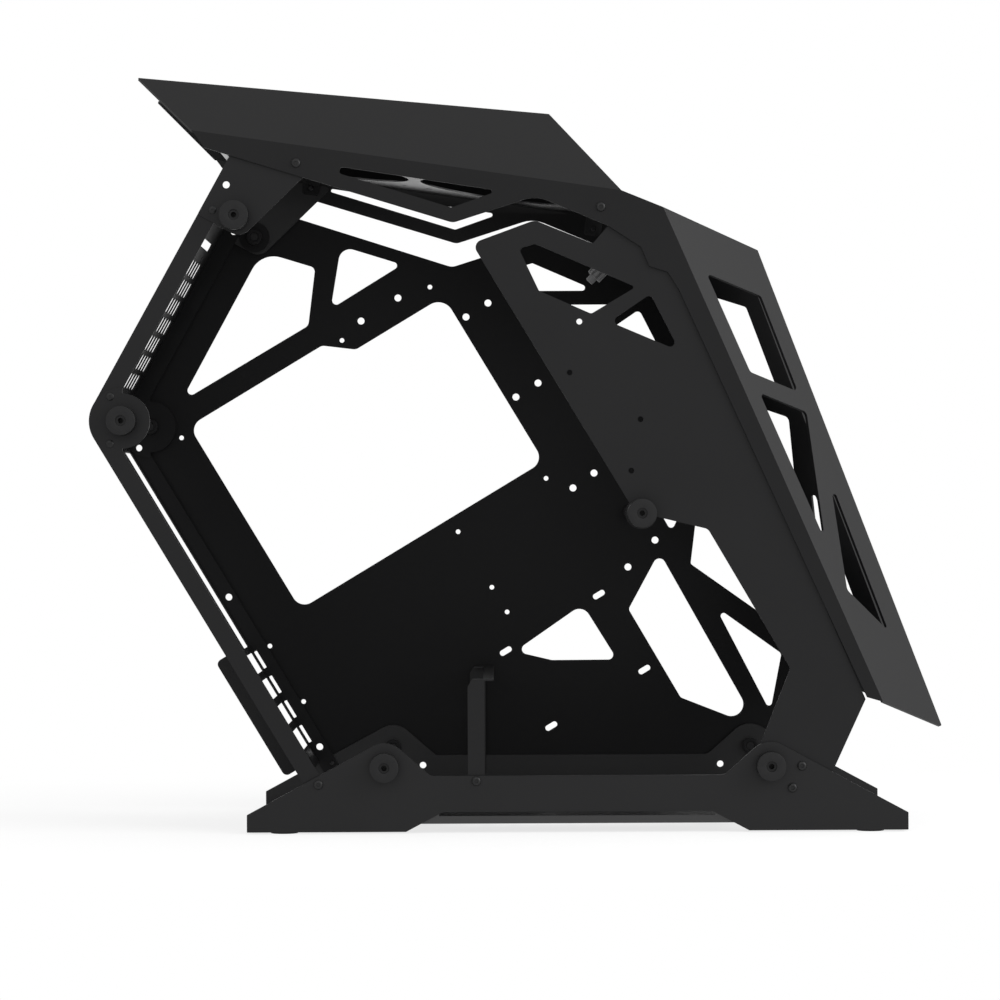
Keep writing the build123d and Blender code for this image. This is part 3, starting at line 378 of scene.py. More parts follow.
@dataclass
class Finishes:
    """Every finish of the case, each made once."""

    coat: bpy.types.Material = field(init=False)
    foot_painted_light_coat: bpy.types.Material = field(init=False)
    far_painted_light_coat: bpy.types.Material = field(init=False)
    tray_painted_shade_coat: bpy.types.Material = field(init=False)
    cover_painted_shade_coat: bpy.types.Material = field(init=False)
    facet_painted_light_coat: bpy.types.Material = field(init=False)
    fan_coat: bpy.types.Material = field(init=False)
    shelf_coat: bpy.types.Material = field(init=False)
    post: bpy.types.Material = field(init=False)
    rubber: bpy.types.Material = field(init=False)
    screw: bpy.types.Material = field(init=False)
    rivet: bpy.types.Material = field(init=False)
    nut: bpy.types.Material = field(init=False)
    button: bpy.types.Material = field(init=False)
    plug: bpy.types.Material = field(init=False)
    spring: bpy.types.Material = field(init=False)

    def __post_init__(self) -> None:
        """Makes the materials."""
        self.coat = PowderCoat("satin_black_coat", (0.0068, 0.0068, 0.0072), 0.44, 0.185).material()
        # Slightly lighter copy of the black paint: painted light on the near base plate.
        self.foot_painted_light_coat = PowderCoat("foot_black_coat_painted_light", (0.0072, 0.0072, 0.0076), 0.44, 0.22).material()
        # Lighter, glossier copy of the black paint: painted light on the far base plate and the far rear
        # bracket.
        self.far_painted_light_coat = PowderCoat("far_black_coat_painted_light", (0.0098, 0.0098, 0.0102), 0.46, 0.24).material()
        # Darker, duller copy of the black paint: painted shade on the motherboard tray and on the far faces of
        # the rear panels.
        self.tray_painted_shade_coat = PowderCoat("tray_black_coat_painted_shade", (0.0053, 0.0053, 0.0056), 0.5, 0.085).material()
        # Two copies of the black paint on the covers: a darker one as painted shade, and a lighter one on the
        # front facet, which faces the key lamp, as painted light.
        self.cover_painted_shade_coat = PowderCoat("cover_black_coat_painted_shade", (0.006, 0.006, 0.0063), 0.42, 0.16).material()
        self.facet_painted_light_coat = PowderCoat("facet_black_coat_painted_light", (0.0074, 0.0074, 0.0078), 0.42, 0.22).material()
        self.fan_coat = PowderCoat("fan_plate_black_coat", (0.0072, 0.0072, 0.0076), 0.22, 0.4).material()
        self.shelf_coat = PowderCoat("shelf_black_coat", (0.01, 0.01, 0.0105), 0.24, 0.6).material()
        self.post = TurnedFinish("black_anodised", (0.0078, 0.0078, 0.0082), 0.36, 0.0, 0.18).material()
        self.rubber = Rubber("black_rubber_skin").material()
        self.screw = SmallMetal("black_oxide", (0.008, 0.008, 0.0084), 0.34, 0.0, 0.26).material()
        self.rivet = TurnedFinish("rivet_black", (0.008, 0.008, 0.0084), 0.38, 0.0, 0.24).material()
        self.nut = SmallMetal("nut_black", (0.0058, 0.0058, 0.0061), 0.45, 0.0, 0.1).material()
        self.button = BarrelFinish("turned_aluminium", (0.82, 0.82, 0.83), 0.24).material()
        self.plug = SmallMetal("plug_grey", (0.11, 0.11, 0.112), 0.34, 0.0, 0.5).material()
        self.spring = SmallMetal("spring_wire", (0.6, 0.6, 0.61), 0.25, 1.0, 0.5).material()


def dress(node: str, material: bpy.types.Material) -> None:
    """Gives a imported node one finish.

    Args:
        node: The node's name.
        material: Its finish.
    """
    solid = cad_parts[node]
    solid.data.materials.clear()
    solid.data.materials.append(material)
    LOG.info("dressed %s", node)


def enlist(mesh: bpy.types.Mesh, name: str, node: Optional[str] = None) -> bpy.types.Object:
    """Adds a finished mesh to the scene as a piece of the case.

    Args:
        mesh: The mesh, in place.
        name: The piece's name.
        node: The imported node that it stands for.

    Returns:
        The piece.
    """
    piece = bpy.data.objects.new(name, mesh)
    bpy.context.scene.collection.objects.link(piece)
    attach(piece, BODY)
    if node:
        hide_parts(node)
    LOG.info("built %s: %d faces", name, len(mesh.polygons))
    return piece


def crisp(mesh: bpy.types.Mesh, angle: float) -> None:
    """Smooth shading with sharp edges.

    Args:
        mesh: The mesh.
        angle: Edges that turn by more than this many degrees stay sharp.
    """
    mesh.polygons.foreach_set("use_smooth", [True] * len(mesh.polygons))
    mesh.set_sharp_from_angle(angle=math.radians(angle))
    mesh.update()


@dataclass(frozen=True)
class Spot:
    """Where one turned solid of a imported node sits, and how large it is."""

    place: Point
    axis: Point
    radius: float
    hole: float
    rise: float
    root: float

    def sizes(self) -> tuple[float, ...]:
        """Its sizes, rounded to a hundredth of a millimetre."""
        return tuple(round(size, 5) for size in (*self.axis, self.radius, self.hole, self.rise, self.root))


def loose_parts(node: str) -> list[list[Vector]]:
    """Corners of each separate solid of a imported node.

    Args:
        node: The node's name.

    Returns:
        One list of corners for each solid, in the mesh's order.
    """
    shape = bmesh.new()
    shape.from_mesh(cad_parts[node].data)
    bmesh.ops.remove_doubles(shape, verts=shape.verts, dist=WELD)
    shape.verts.index_update()
    seen = [False] * len(shape.verts)
    parts = []
    for start in shape.verts:
        if seen[start.index]:
            continue
        seen[start.index] = True
        part, waiting = [], [start]
        while waiting:
            corner = waiting.pop()
            part.append(corner.co.copy())
            for edge in corner.link_edges:
                far = edge.other_vert(corner)
                if not seen[far.index]:
                    seen[far.index] = True
                    waiting.append(far)
        parts.append(part)
    shape.free()
    return parts


def measure(part: list[Vector], axis: Vector, rim_share: float = 0.97) -> Spot:
    """Reads a turned solid's place and sizes from its corners.

    Args:
        part: Its corners.
        axis: Direction of its axis, towards its outer face.
        rim_share: Share of the full radius from which a corner counts as on the rim.

    Returns:
        The spot, at the level where the solid is first as wide as it gets.
    """
    turn = Vector((0.0, 0.0, 1.0)).rotation_difference(axis)
    local = [turn.inverted() @ corner for corner in part]
    mid = [(min(corner[i] for corner in local) + max(corner[i] for corner in local)) / 2 for i in (0, 1)]
    reach = [math.hypot(corner[0] - mid[0], corner[1] - mid[1]) for corner in local]
    radius = max(reach)
    seat = min(corner[2] for corner, away in zip(local, reach) if away > rim_share * radius)
    levels = [corner[2] for corner in local]
    place = turn @ Vector((mid[0], mid[1], seat))
    return Spot(tuple(place), tuple(axis), radius, min(reach), max(levels) - seat, seat - min(levels))


class GeometryGraph(NodeGraph):
    """A Geometry Nodes tree with named sizes, baked to a plain mesh."""

    def __init__(self, name: str, sizes: dict[str, float]) -> None:
        """Opens a tree.

        Args:
            name: The tree's name.
            sizes: Named sizes and their defaults, in metres or counts.
        """
        tree = bpy.data.node_groups.new(name, "GeometryNodeTree")
        super().__init__(tree)
        tree.interface.new_socket("Places", in_out="INPUT", socket_type="NodeSocketGeometry")
        for label, value in sizes.items():
            socket = tree.interface.new_socket(label, in_out="INPUT", socket_type="NodeSocketFloat")
            socket.default_value = value
        tree.interface.new_socket("Axis", in_out="INPUT", socket_type="NodeSocketVector")
        tree.interface.new_socket("Finish", in_out="INPUT", socket_type="NodeSocketMaterial")
        tree.interface.new_socket("Piece", in_out="OUTPUT", socket_type="NodeSocketGeometry")
        self.entry = self.add("NodeGroupInput")

    def size(self, label: str) -> Wire:
        """Wire of a named input."""
        return self.entry.other(label)

    def rise(self, height: Any) -> Wire:
        """Vector along Z."""
        return self.add("ShaderNodeCombineXYZ", {2: height})

    def turned(self, profile: list[tuple[Any, Any]], sides: int) -> Wire:
        """Closed turned shape about Z.

        Args:
            profile: Radius and height of each ring, from the foot's rim outwards, up and inwards.
            sides: Facets round the axis.

        Returns:
            The shape, with the radius of each point kept as turning.
        """
        radius, height = profile[0]
        disc = self.add("GeometryNodeMeshCircle", {"Vertices": sides, "Radius": radius}, fill_type="NGON")
        disc = self.add("GeometryNodeTransform", {"Geometry": disc, "Translation": self.rise(height)})
        foot = self.add("GeometryNodeFlipFaces", {"Mesh": disc})
        shape, top = disc, None
        for next_radius, next_height in profile[1:]:
            inputs = {"Mesh": shape, "Offset": self.rise(next_height - height), "Individual": False,
                      "Offset Scale": 1.0}
            if top:
                inputs["Selection"] = top
            raised = self.add("GeometryNodeExtrudeMesh", inputs, output="Mesh", mode="FACES")
            top = raised.other("Top")
            shape = self.add("GeometryNodeScaleElements",
                             {"Geometry": raised, "Selection": top, "Scale": next_radius / radius},
                             domain="FACE")
            radius, height = next_radius, next_height
        joined = self.add("GeometryNodeJoinGeometry", {"Geometry": [shape, foot]})
        merged = self.add("GeometryNodeMergeByDistance", {"Geometry": joined, "Distance": WELD})
        return self.with_turning(merged)

    def with_turning(self, shape: Wire) -> Wire:
        """Keeps each point's distance from Z as turning."""
        place = self.add("GeometryNodeInputPosition")
        flat = self.add("ShaderNodeVectorMath", {0: place, 1: (1.0, 1.0, 0.0)}, operation="MULTIPLY")
        reach = self.add("ShaderNodeVectorMath", {0: flat}, output="Value", operation="LENGTH")
        return self.add("GeometryNodeStoreNamedAttribute",
                        {"Geometry": shape, "Name": "turning", "Value": reach}, data_type="FLOAT",
                        domain="POINT")

    def seal(self, shape: Wire) -> None:
        """Ends the tree: the shape on every place, turned to the axis and made real, in one finish."""
        turn = self.add("FunctionNodeAlignRotationToVector", {"Vector": self.size("Axis")}, axis="Z")
        spread = self.add("GeometryNodeInstanceOnPoints",
                          {"Points": self.size("Places"), "Instance": shape, "Rotation": turn})
        real = self.add("GeometryNodeRealizeInstances", {"Geometry": spread})
        done = self.add("GeometryNodeSetMaterial", {"Geometry": real, "Material": self.size("Finish")})
        self.add("NodeGroupOutput", {"Piece": done})

    def bake(self, places: list[Point], material: bpy.types.Material, axis: Point,
             sizes: dict[str, float]) -> bpy.types.Mesh:
        """Runs the tree and keeps its result as a plain mesh.

        Args:
            places: Points that the shape stands on.
            material: The finish.
            axis: Direction of the shape's Z.
            sizes: Named sizes that differ from the defaults.

        Returns:
            The mesh, with its faces outwards.
        """
        points = bpy.data.meshes.new("places")
        points.from_pydata(places, [], [])
        host = bpy.data.objects.new("host", points)
        bpy.context.scene.collection.objects.link(host)
        modifier = host.modifiers.new("Nodes", "NODES")
        modifier.node_group = self.tree
        sockets = {item.name: item.identifier for item in self.tree.interface.items_tree
                   if item.in_out == "INPUT"}
        for label, value in {**sizes, "Axis": axis, "Finish": material}.items():
            modifier[sockets[label]] = value
        graph = bpy.context.evaluated_depsgraph_get()
        mesh = bpy.data.meshes.new_from_object(host.evaluated_get(graph), depsgraph=graph)
        host.modifiers.remove(modifier)
        bpy.data.objects.remove(host)
        shape = bmesh.new()
        shape.from_mesh(mesh)
        bmesh.ops.recalc_face_normals(shape, faces=shape.faces)
        shape.to_mesh(mesh)
        shape.free()
        return mesh


@dataclass
class TurnedPieces:
    """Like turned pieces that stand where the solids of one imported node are."""

    node: str
    slot: Slot
    material: bpy.types.Material
    edge_angle: float = 32.0
    sides: int = 48

    def tree(self) -> GeometryGraph:
        """Tree of the piece, foot down and face up."""
        raise NotImplementedError

    def sizes(self, spot: Spot) -> dict[str, float]:
        """Named sizes of the piece at a spot."""
        return {"Radius": spot.radius, "Rise": spot.rise}

    def axis(self, part: list[Vector]) -> Vector:
        """Direction of a solid's axis: outwards from the middle of the case."""
        return Vector((0.0, math.copysign(1.0, part[0].y), 0.0))

    def spots(self) -> list[Spot]:
        """Place and sizes of every piece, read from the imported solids."""
        return [measure(part, self.axis(part)) for part in loose_parts(self.node)]

    def build(self) -> bpy.types.Object:
        """Bakes the pieces, all of one size at a time, into one mesh.

        Returns:
            The piece that stands for the node.
        """
        tree = self.tree()
        groups: dict[tuple[float, ...], list[Spot]] = {}
        for spot in self.spots():
            groups.setdefault(spot.sizes(), []).append(spot)
        whole = bmesh.new()
        for spots in groups.values():
            first = spots[0]
            mesh = tree.bake([spot.place for spot in spots], self.material, first.axis, self.sizes(first))
            whole.from_mesh(mesh)
            bpy.data.meshes.remove(mesh)
        done = bpy.data.meshes.new(self.node + "_turned")
        whole.to_mesh(done)
        whole.free()
        done.materials.append(self.material)
        crisp(done, self.edge_angle)
        return enlist(done, self.node + "_turned", self.node)


@dataclass
class GlassPosts(TurnedPieces):
    """Posts that carry the side glass: a stud, a chamfered barrel and a threaded bore."""

    sides: int = 72
    chamfer: float = 0.45 * MM
    bore_radius: float = 1.65 * MM
    bore_depth: float = 8.0 * MM
    sink: float = 0.25 * MM
    stud_radius: float = 3.0 * MM

    def sizes(self, spot: Spot) -> dict[str, float]:
        """Named sizes of the post at a spot."""
        return {**super().sizes(spot), "Root": spot.root}

    def tree(self) -> GeometryGraph:
        """Tree of one post."""
        graph = GeometryGraph("GlassPost", {
            "Radius": 9.4 * MM, "Rise": 10.0 * MM, "Root": 6.0 * MM, "Chamfer": self.chamfer,
            "Bore Radius": self.bore_radius, "Bore Depth": self.bore_depth, "Sink": self.sink,
            "Stud Radius": self.stud_radius})
        radius, rise, root = graph.size("Radius"), graph.size("Rise"), graph.size("Root")
        chamfer, bore, depth = graph.size("Chamfer"), graph.size("Bore Radius"), graph.size("Bore Depth")
        stud, sink = graph.size("Stud Radius"), graph.size("Sink")
        profile = [(stud - chamfer, -root), (stud, chamfer - root), (stud, 0.0),
                   (radius - chamfer * 0.5, 0.0), (radius, chamfer * 0.5), (radius, rise - chamfer),
                   (radius - chamfer, rise), (bore + sink, rise), (bore, rise - sink), (bore, rise - depth),
                   (bore * 0.05, rise - depth)]
        graph.seal(graph.turned(profile, self.sides))
        return graph


@dataclass
class Rings(TurnedPieces):
    """Washers, round nuts and spacers: rings with softened rims."""

    sides: int = 64
    soft: float = 0.3 * MM
    soft_steps: int = 3
    inward: bool = False

    def axis(self, part: list[Vector]) -> Vector:
        """Outwards, or inwards for rings on the inner side."""
        return super().axis(part) * (-1.0 if self.inward else 1.0)

    def sizes(self, spot: Spot) -> dict[str, float]:
        """Named sizes of the ring at a spot."""
        return {**super().sizes(spot), "Hole": spot.hole}

    def tree(self) -> GeometryGraph:
        """Tree of one ring."""
        graph = GeometryGraph("SoftRing", {"Radius": 9.4 * MM, "Rise": 1.5 * MM, "Hole": 4.5 * MM,
                                           "Soft": self.soft})
        radius, rise, hole = graph.size("Radius"), graph.size("Rise"), graph.size("Hole")
        line = graph.add("GeometryNodeCurvePrimitiveCircle",
                         {"Resolution": self.sides, "Radius": (radius + hole) * 0.5}, mode="RADIUS")
        section = graph.add("GeometryNodeCurvePrimitiveQuadrilateral",
                            {"Width": radius - hole, "Height": rise})
        section = graph.add("GeometryNodeFilletCurve",
                            {"Curve": section, "Radius": graph.size("Soft"), "Count": self.soft_steps},
                            mode="POLY")
        body = graph.add("GeometryNodeCurveToMesh", {"Curve": line, "Profile Curve": section})
        body = graph.add("GeometryNodeTransform", {"Geometry": body, "Translation": graph.rise(rise * 0.5)})
        graph.seal(graph.with_turning(body))
        return graph


@dataclass(frozen=True)
class Dome:
    """Domed head in shares of its radius and height, with its rings at even angles in degrees."""

    crown: float
    rim: float
    start: float
    turn: float
    steps: int

    def rings(self, radius: Wire, rise: Wire) -> list[tuple[Wire, Wire]]:
        """Radius and height of each ring, from the rim to the crown."""
        angles = [math.radians(self.start + self.turn * index) for index in range(self.steps)]
        return [(radius * (self.crown + (1.0 - self.crown) * math.cos(angle)),
                 rise * (self.rim + (1.0 - self.rim) * math.sin(angle))) for angle in angles]


@dataclass
class Screws(TurnedPieces):
    """Button-head screws with hexagon sockets."""

    sides: int = 40
    shank_radius: float = 1.5 * MM
    socket_radius: float = 1.45 * MM
    socket_depth: float = 1.0 * MM
    dome: Dome = Dome(crown=0.45, rim=0.08, start=16.0, turn=14.8, steps=6)
    second_foot_screw: tuple[float, float] = (177.7 * MM, 28.6 * MM)

    def spots(self) -> list[Spot]:
        """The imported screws, and the second screw of the front foot, which is like its neighbour."""
        packed = super().spots()
        x, z = self.second_foot_screw
        near = min(packed, key=lambda spot: math.hypot(spot.place[0] - x, spot.place[2] - z))
        return packed + [replace(near, place=(x, near.place[1], z))]

    def sizes(self, spot: Spot) -> dict[str, float]:
        """Named sizes of the screw at a spot."""
        return {**super().sizes(spot), "Root": spot.root}

    def tree(self) -> GeometryGraph:
        """Tree of one screw."""
        graph = GeometryGraph("ButtonHeadScrew", {
            "Radius": 3.1 * MM, "Rise": 1.7 * MM, "Root": 6.0 * MM, "Shank Radius": self.shank_radius,
            "Socket Radius": self.socket_radius, "Socket Depth": self.socket_depth})
        radius, rise, root = graph.size("Radius"), graph.size("Rise"), graph.size("Root")
        shank = graph.size("Shank Radius")
        profile = [(shank * 0.7, -root), (shank, shank * 0.3 - root), (shank, 0.0), (radius * 0.97, 0.0),
                   (radius, rise * self.dome.rim), *self.dome.rings(radius, rise)]
        head = graph.turned(profile, self.sides)
        prism = graph.add("GeometryNodeMeshCylinder", {"Vertices": 6, "Radius": graph.size("Socket Radius"),
                                                       "Depth": graph.size("Socket Depth") * 2.0})
        prism = graph.add("GeometryNodeTransform", {"Geometry": prism, "Translation": graph.rise(rise)})
        graph.seal(graph.add("GeometryNodeMeshBoolean", {"Mesh 1": head, "Mesh 2": prism},
                             operation="DIFFERENCE"))
        return graph


@dataclass
class Rivets(TurnedPieces):
    """Blind rivets: a low dome with the hollow that the mandrel leaves."""

    sides: int = 36
    shank_radius: float = 1.6 * MM
    dome: Dome = Dome(crown=0.36, rim=0.1, start=20.0, turn=17.5, steps=5)
    hollow: float = 0.3
    hollow_floor: float = 0.6
    ledge_axis: Point = (-math.cos(BOARD_TURN), 0.0, -math.sin(BOARD_TURN))
    side_reach: float = 80.0 * MM

    def axis(self, part: list[Vector]) -> Vector:
        """Outwards on the long sides, and down the ledge's own slope in the middle."""
        return super().axis(part) if abs(part[0].y) > self.side_reach else Vector(self.ledge_axis)

    def sizes(self, spot: Spot) -> dict[str, float]:
        """Named sizes of the rivet at a spot."""
        return {**super().sizes(spot), "Root": spot.root}

    def tree(self) -> GeometryGraph:
        """Tree of one rivet."""
        graph = GeometryGraph("BlindRivet", {"Radius": 2.6 * MM, "Rise": 0.9 * MM, "Root": 3.0 * MM,
                                             "Shank Radius": self.shank_radius})
        radius, rise, root = graph.size("Radius"), graph.size("Rise"), graph.size("Root")
        shank = graph.size("Shank Radius")
        profile = [(shank * 0.8, -root), (shank, shank * 0.2 - root), (shank, 0.0), (radius * 0.98, 0.0),
                   (radius, rise * self.dome.rim), *self.dome.rings(radius, rise),
                   (radius * self.hollow, rise), (radius * (self.hollow * 0.9), rise * self.hollow_floor),
                   (radius * (self.hollow * 0.1), rise * (self.hollow_floor - 0.05))]
        graph.seal(graph.turned(profile, self.sides))
        return graph


@dataclass
class FootPads(TurnedPieces):
    """Round rubber pads under the feet, with a shallow dish in the face that meets the ground."""

    sides: int = 56
    soft: float = 0.3 * MM
    dish: float = 0.8

    def axis(self, part: list[Vector]) -> Vector:
        """Down."""
        return Vector((0.0, 0.0, -1.0))

    def tree(self) -> GeometryGraph:
        """Tree of one pad."""
        graph = GeometryGraph("FootPad", {"Radius": 9.0 * MM, "Rise": 1.0 * MM, "Soft": self.soft})
        radius, rise, soft = graph.size("Radius"), graph.size("Rise"), graph.size("Soft")
        profile = [(radius, 0.0), (radius, rise - soft), (radius - soft * 0.3, rise - soft * 0.3),
                   (radius - soft, rise), (radius * self.dish, rise),
                   (radius * (self.dish - 0.02), rise - soft * 0.6), (radius * 0.03, rise - soft * 0.6)]
        graph.seal(graph.turned(profile, self.sides))
        return graph


@dataclass(frozen=True)
class Beyond:
    """Second finish of a piece, on its faces beyond a level along a heading."""

    material: bpy.types.Material
    heading: Point
    level: float

    def paint(self, mesh: bpy.types.Mesh) -> None:
        """Gives the finish to the faces that lie beyond the level."""
        mesh.materials.append(self.material)
        heading = Vector(self.heading)
        for face in mesh.polygons:
            if heading.dot(face.center) > self.level:
                face.material_index = 1


@dataclass
class CutPieces:
    """Sheets and other cut pieces of the case, with their edges broken as a press leaves them."""

    edge_break: float = 0.22 * MM
    flat_angle: float = 0.6
    edge_angle: float = 32.0
    sharp_angle: float = 14.0

    def build(self, node: str, slot: Slot, material: bpy.types.Material,
              beyond: Optional[Beyond] = None) -> bpy.types.Object:
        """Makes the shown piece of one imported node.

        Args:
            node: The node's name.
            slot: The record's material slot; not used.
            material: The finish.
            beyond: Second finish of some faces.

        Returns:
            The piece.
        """
        shape = bmesh.new()
        shape.from_mesh(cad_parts[node].data)
        bmesh.ops.remove_doubles(shape, verts=shape.verts, dist=WELD)
        bmesh.ops.dissolve_limit(shape, angle_limit=math.radians(self.flat_angle), verts=shape.verts,
                                 edges=shape.edges)
        mesh = bpy.data.meshes.new(node + "_shown")
        shape.to_mesh(mesh)
        shape.free()
        host = bpy.data.objects.new("host", mesh)
        bpy.context.scene.collection.objects.link(host)
        bevel = host.modifiers.new("Edge", "BEVEL")
        bevel.width = self.edge_break
        bevel.segments = 1
        bevel.limit_method = "ANGLE"
        bevel.angle_limit = math.radians(self.edge_angle)
        graph = bpy.context.evaluated_depsgraph_get()
        done = bpy.data.meshes.new_from_object(host.evaluated_get(graph), depsgraph=graph)
        host.modifiers.remove(bevel)
        bpy.data.objects.remove(host)
        done.materials.clear()
        done.materials.append(material)
        if beyond:
            beyond.paint(done)
        crisp(done, self.sharp_angle)
        return enlist(done, node + "_shown", node)


@dataclass
class PowerButton:
    """Metal push button on the upper front corner, with a thread on its barrel."""

    finishes: Finishes
    axis: Point = BUTTON_AXIS
    barrel_radius: float = 8.0 * MM
    pitch: float = 1.0 * MM
    length: float = 12.2 * MM
    below_nut: float = 14.0 * MM
    ridge: float = 0.3 * MM
    steps_a_turn: int = 30
    plug_below: float = 14.6 * MM

    def thread_tree(self) -> GeometryGraph:
        """Tree of the thread's ridge: a spiral swept with a small diamond."""
        graph = GeometryGraph("BarrelThread", {"Radius": self.barrel_radius, "Pitch": self.pitch,
                                               "Length": self.length, "Ridge": self.ridge})
        radius, length = graph.size("Radius"), graph.size("Length")
        spiral = graph.add("GeometryNodeCurveSpiral", {
            "Resolution": self.steps_a_turn, "Rotations": length / graph.size("Pitch"), "Start Radius": radius,
            "End Radius": radius, "Height": length})
        diamond = graph.add("GeometryNodeCurvePrimitiveCircle",
                            {"Resolution": 4, "Radius": graph.size("Ridge")}, mode="RADIUS")
        graph.seal(graph.add("GeometryNodeCurveToMesh", {"Curve": spiral, "Profile Curve": diamond,
                                                         "Fill Caps": True}))
        return graph

    def build(self) -> None:
        """Dresses the button's solids and adds the thread."""
        done = self.finishes
        for node in ("power_button_cap", "power_button_nut"):
            dress(node, done.button)
        dress("power_button_spring", done.spring)
        low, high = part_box("power_button_nut")
        middle, axis = (low + high) / 2, Vector(self.axis)
        plug = Beyond(done.plug, tuple(-axis), self.plug_below - axis.dot(middle))
        fine = CutPieces(edge_break=0.12 * MM, sharp_angle=24.0)
        fine.build("power_button_body", Slot.BUTTON, done.button, plug)
        foot = tuple(middle - axis * self.below_nut)
        mesh = self.thread_tree().bake([foot], done.button, self.axis, {})
        crisp(mesh, 60.0)
        enlist(mesh, "power_button_thread")


@dataclass(frozen=True)
class Softbox:
    """One soft studio lamp that points at a place."""

    name: str
    place: Point
    target: Point
    width: float
    height: float
    power: float

    def build(self) -> None:
        """Adds the lamp."""
        lamp = bpy.data.lights.new(self.name, "AREA")
        lamp.shape = "RECTANGLE"
        lamp.size = self.width
        lamp.size_y = self.height
        lamp.energy = self.power
        holder = bpy.data.objects.new(self.name, lamp)
        holder.location = self.place
        aim = Vector(self.target) - Vector(self.place)
        holder.rotation_euler = aim.to_track_quat("-Z", "Y").to_euler()
        bpy.context.scene.collection.objects.link(holder)


@dataclass
class Studio:
    """White floor and surroundings, soft lamps and the camera."""

    camera_place: Point = (-0.0115, -2.5376, 0.2164)
    focal_length: float = 135.0
    sensor: float = 36.0
    roll: float = -0.0047
    floor_reach: float = 6.0
    fade_start: float = 0.36
    fade_end: float = 0.8
    fade_shape: Point = (1.0, 1.8, 0.0)
    floor_tone: Colour = (0.92, 0.92, 0.92)
    floor_glow: float = 0.75
    ambient: float = 0.9
    lamps: tuple[Softbox, ...] = (
        Softbox("key_right", (1.7, -0.9, 1.0), (0.15, 0.0, 0.2), 1.3, 1.5, 28.0),
        Softbox("top", (-0.1, -0.2, 2.0), (0.0, 0.0, 0.2), 2.4, 2.4, 5.0),
        Softbox("front", (-0.6, -2.2, 1.3), (0.0, 0.0, 0.2), 1.4, 1.0, 4.0),
    )

    @staticmethod
    def seen(graph: NodeGraph) -> Wire:
        """1 for rays that show the background: straight, mirrored or through glass."""
        path = graph.add("ShaderNodeLightPath", output="Is Camera Ray")
        return (path + path.other("Is Glossy Ray") + path.other("Is Transmission Ray")).smaller(1.0)

    def floor(self) -> None:
        """Adds the floor, which keeps a light shadow near the case and fades to plain white around it."""
        reach = self.floor_reach
        mesh = bpy.data.meshes.new("floor")
        corners = [(-reach, -reach, 0.0), (reach, -reach, 0.0), (reach, reach, 0.0), (-reach, reach, 0.0)]
        mesh.from_pydata(corners, [], [(0, 1, 2, 3)])
        graph = ShaderGraph("floor_white")
        flat = graph.add("ShaderNodeVectorMath", {0: graph.place, 1: self.fade_shape}, operation="MULTIPLY")
        away = graph.add("ShaderNodeVectorMath", {0: flat}, output="Value", operation="LENGTH")
        fade = ((away - self.fade_start) / (self.fade_end - self.fade_start)).larger(0.0).smaller(1.0)
        matte = graph.add("ShaderNodeBsdfDiffuse", {"Color": self.floor_tone})
        glow = graph.add("ShaderNodeEmission", {"Color": (1.0, 1.0, 1.0), "Strength": 1.0})
        share = (fade * (1.0 - self.floor_glow) + self.floor_glow) * self.seen(graph)
        surface = graph.add("ShaderNodeMixShader", {0: share, 1: matte, 2: glow})
        graph.add("ShaderNodeOutputMaterial", {"Surface": surface})
        mesh.materials.append(graph.material)
        ground = bpy.data.objects.new("floor", mesh)
        bpy.context.scene.collection.objects.link(ground)

    def world(self) -> None:
        """Sets plain white surroundings, weaker in the light that they give."""
        world = bpy.data.worlds.new("studio")
        world.use_nodes = True
        bpy.context.scene.world = world
        graph = NodeGraph(world.node_tree)
        strength = self.seen(graph) * (1.0 - self.ambient) + self.ambient
        back = graph.add("ShaderNodeBackground", {"Color": (1.0, 1.0, 1.0), "Strength": strength})
        graph.add("ShaderNodeOutputWorld", {"Surface": back})

    def camera(self) -> None:
        """Adds the camera at the photograph's viewing angle."""
        lens = bpy.data.cameras.new("camera")
        lens.lens = self.focal_length
        lens.sensor_width = self.sensor
        lens.clip_end = 50.0
        holder = bpy.data.objects.new("camera", lens)
        holder.location = self.camera_place
        turn = Matrix.Rotation(math.pi / 2, 3, "X") @ Matrix.Rotation(self.roll, 3, "Z")
        holder.rotation_euler = turn.to_euler()
        bpy.context.scene.collection.objects.link(holder)
        bpy.context.scene.camera = holder

    def build(self) -> None:
        """Builds the studio."""
        bpy.context.scene.view_settings.view_transform = "Standard"
        self.camera()
        self.floor()
        self.world()
        for lamp in self.lamps:
            lamp.build()
        LOG.info("built the studio with %d lamps", len(self.lamps))


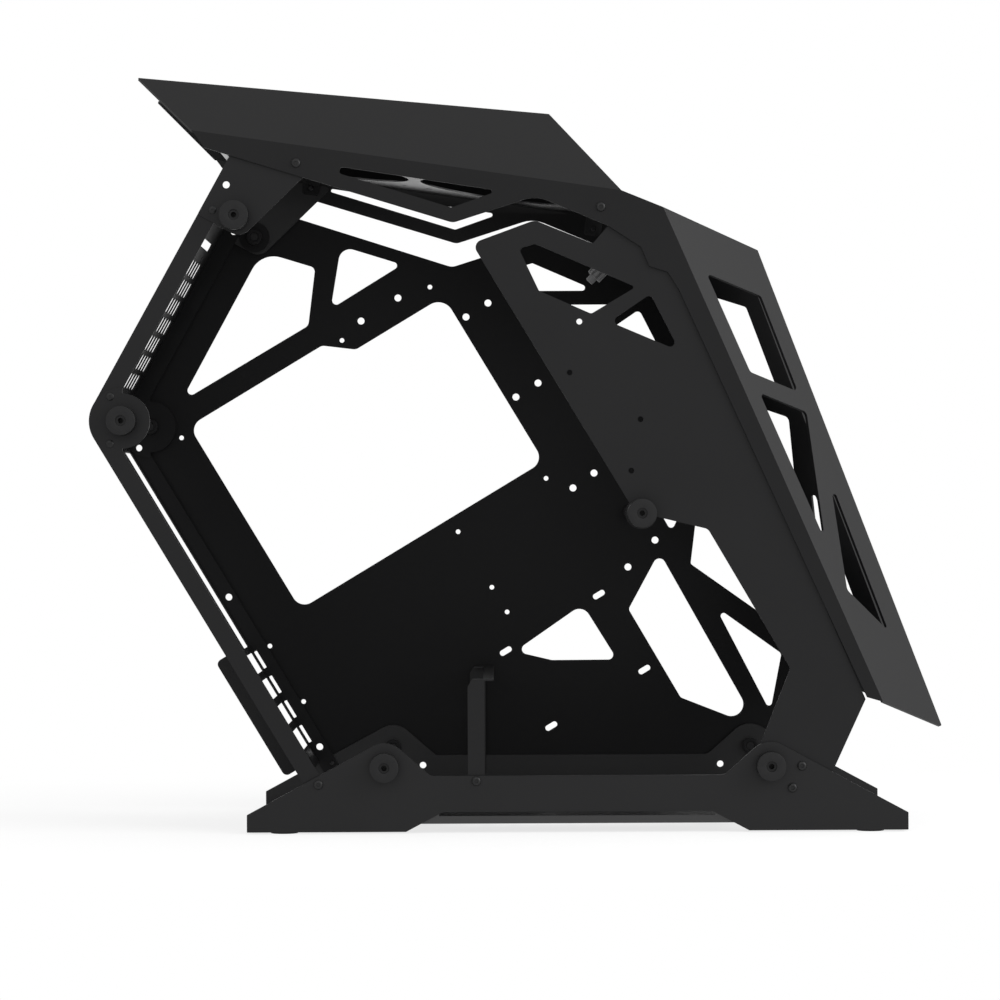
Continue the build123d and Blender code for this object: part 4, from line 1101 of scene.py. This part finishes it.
@dataclass
class ComputerCase:
    """The whole case: its sheets, posts, fasteners and power button."""

    finishes: Finishes = field(default_factory=Finishes)
    sheets: CutPieces = field(default_factory=CutPieces)
    # Faces of the rear panels beyond this level get the tray's darker copy of the paint as painted shade.
    painted_shade_far_level: float = 96.5 * MM
    # Faces of the covers beyond this level along this heading, the front facet, get the lighter copy of the
    # paint as painted light.
    painted_light_facet_heading: Point = (0.9263, 0.0, 0.3767)
    painted_light_facet_level: float = 242.5 * MM

    def sheet_finishes(self) -> dict[str, tuple[Slot, bpy.types.Material]]:
        """Slot and finish of every sheet, by node."""
        done = self.finishes
        table = {node: (Slot.PAINT, done.coat) for node in (
            "rear_lower_panel", "rear_upper_panel", "slot_screw_ledge",
            "top_rear_bracket_left", "front_fan_plate", "button_panel", "front_side_plate",
            "power_supply_strap")}
        # The near base plate gets a slightly lighter copy of the same paint: painted light.
        table["base_plate_left"] = (Slot.PAINT, done.foot_painted_light_coat)
        # The far base plate and far rear bracket get a lighter copy of the same paint: painted light.
        table["base_plate_right"] = (Slot.PAINT, done.far_painted_light_coat)
        table["top_rear_bracket_right"] = (Slot.PAINT, done.far_painted_light_coat)
        # The tray gets a darker copy of the same black paint: painted shade.
        table["motherboard_tray"] = (Slot.PAINT, done.tray_painted_shade_coat)
        table["top_fan_plate"] = (Slot.PAINT, done.fan_coat)
        table["power_supply_shelf"] = (Slot.PAINT, done.shelf_coat)
        # The covers get a darker copy of the same paint as painted shade; their front facets get a lighter one
        # as painted light.
        table["cover_left"] = (Slot.COVER, done.cover_painted_shade_coat)
        table["cover_right"] = (Slot.COVER, done.cover_painted_shade_coat)
        return table

    def turned_pieces(self) -> list[TurnedPieces]:
        """Every set of turned pieces."""
        done = self.finishes
        pieces: list[TurnedPieces] = []
        for side in ("left", "right"):
            pieces.append(GlassPosts(f"glass_posts_{side}", Slot.POST, done.post))
            pieces.append(Rings(f"post_washers_{side}", Slot.RUBBER, done.rubber, edge_angle=60.0))
            pieces.append(Screws(f"frame_screws_{side}", Slot.SCREW, done.screw))
        pieces.append(Rings("post_nuts", Slot.SCREW, done.nut, edge_angle=40.0, soft=0.4 * MM, inward=True))
        pieces.append(Rings("tray_spacers", Slot.SCREW, done.nut, edge_angle=40.0, soft=0.2 * MM))
        pieces.append(Rivets("frame_rivets", Slot.RIVET, done.rivet))
        pieces.append(FootPads("rubber_feet", Slot.RUBBER, done.rubber))
        return pieces

    def build(self) -> None:
        """Builds and dresses the case, piece by piece."""
        # Painted shade on the far faces of the rear panels and painted light on the front facets of the
        # covers, each as a re-toned copy of the black paint.
        painted_shade_and_light = {"rear": Beyond(self.finishes.tray_painted_shade_coat, (0.0, 1.0, 0.0), self.painted_shade_far_level),
                   "cover": Beyond(self.finishes.facet_painted_light_coat, self.painted_light_facet_heading, self.painted_light_facet_level)}
        for node, (slot, material) in self.sheet_finishes().items():
            self.sheets.build(node, slot, material, painted_shade_and_light.get(node.split("_")[0]))
        for pieces in self.turned_pieces():
            pieces.build()
        PowerButton(self.finishes).build()


def main() -> None:
    """Builds the case and the studio."""
    logging.basicConfig(level=logging.INFO, format="%(name)s: %(message)s")
    ComputerCase().build()
    Studio().build()


if __name__ == "__main__":
    main()
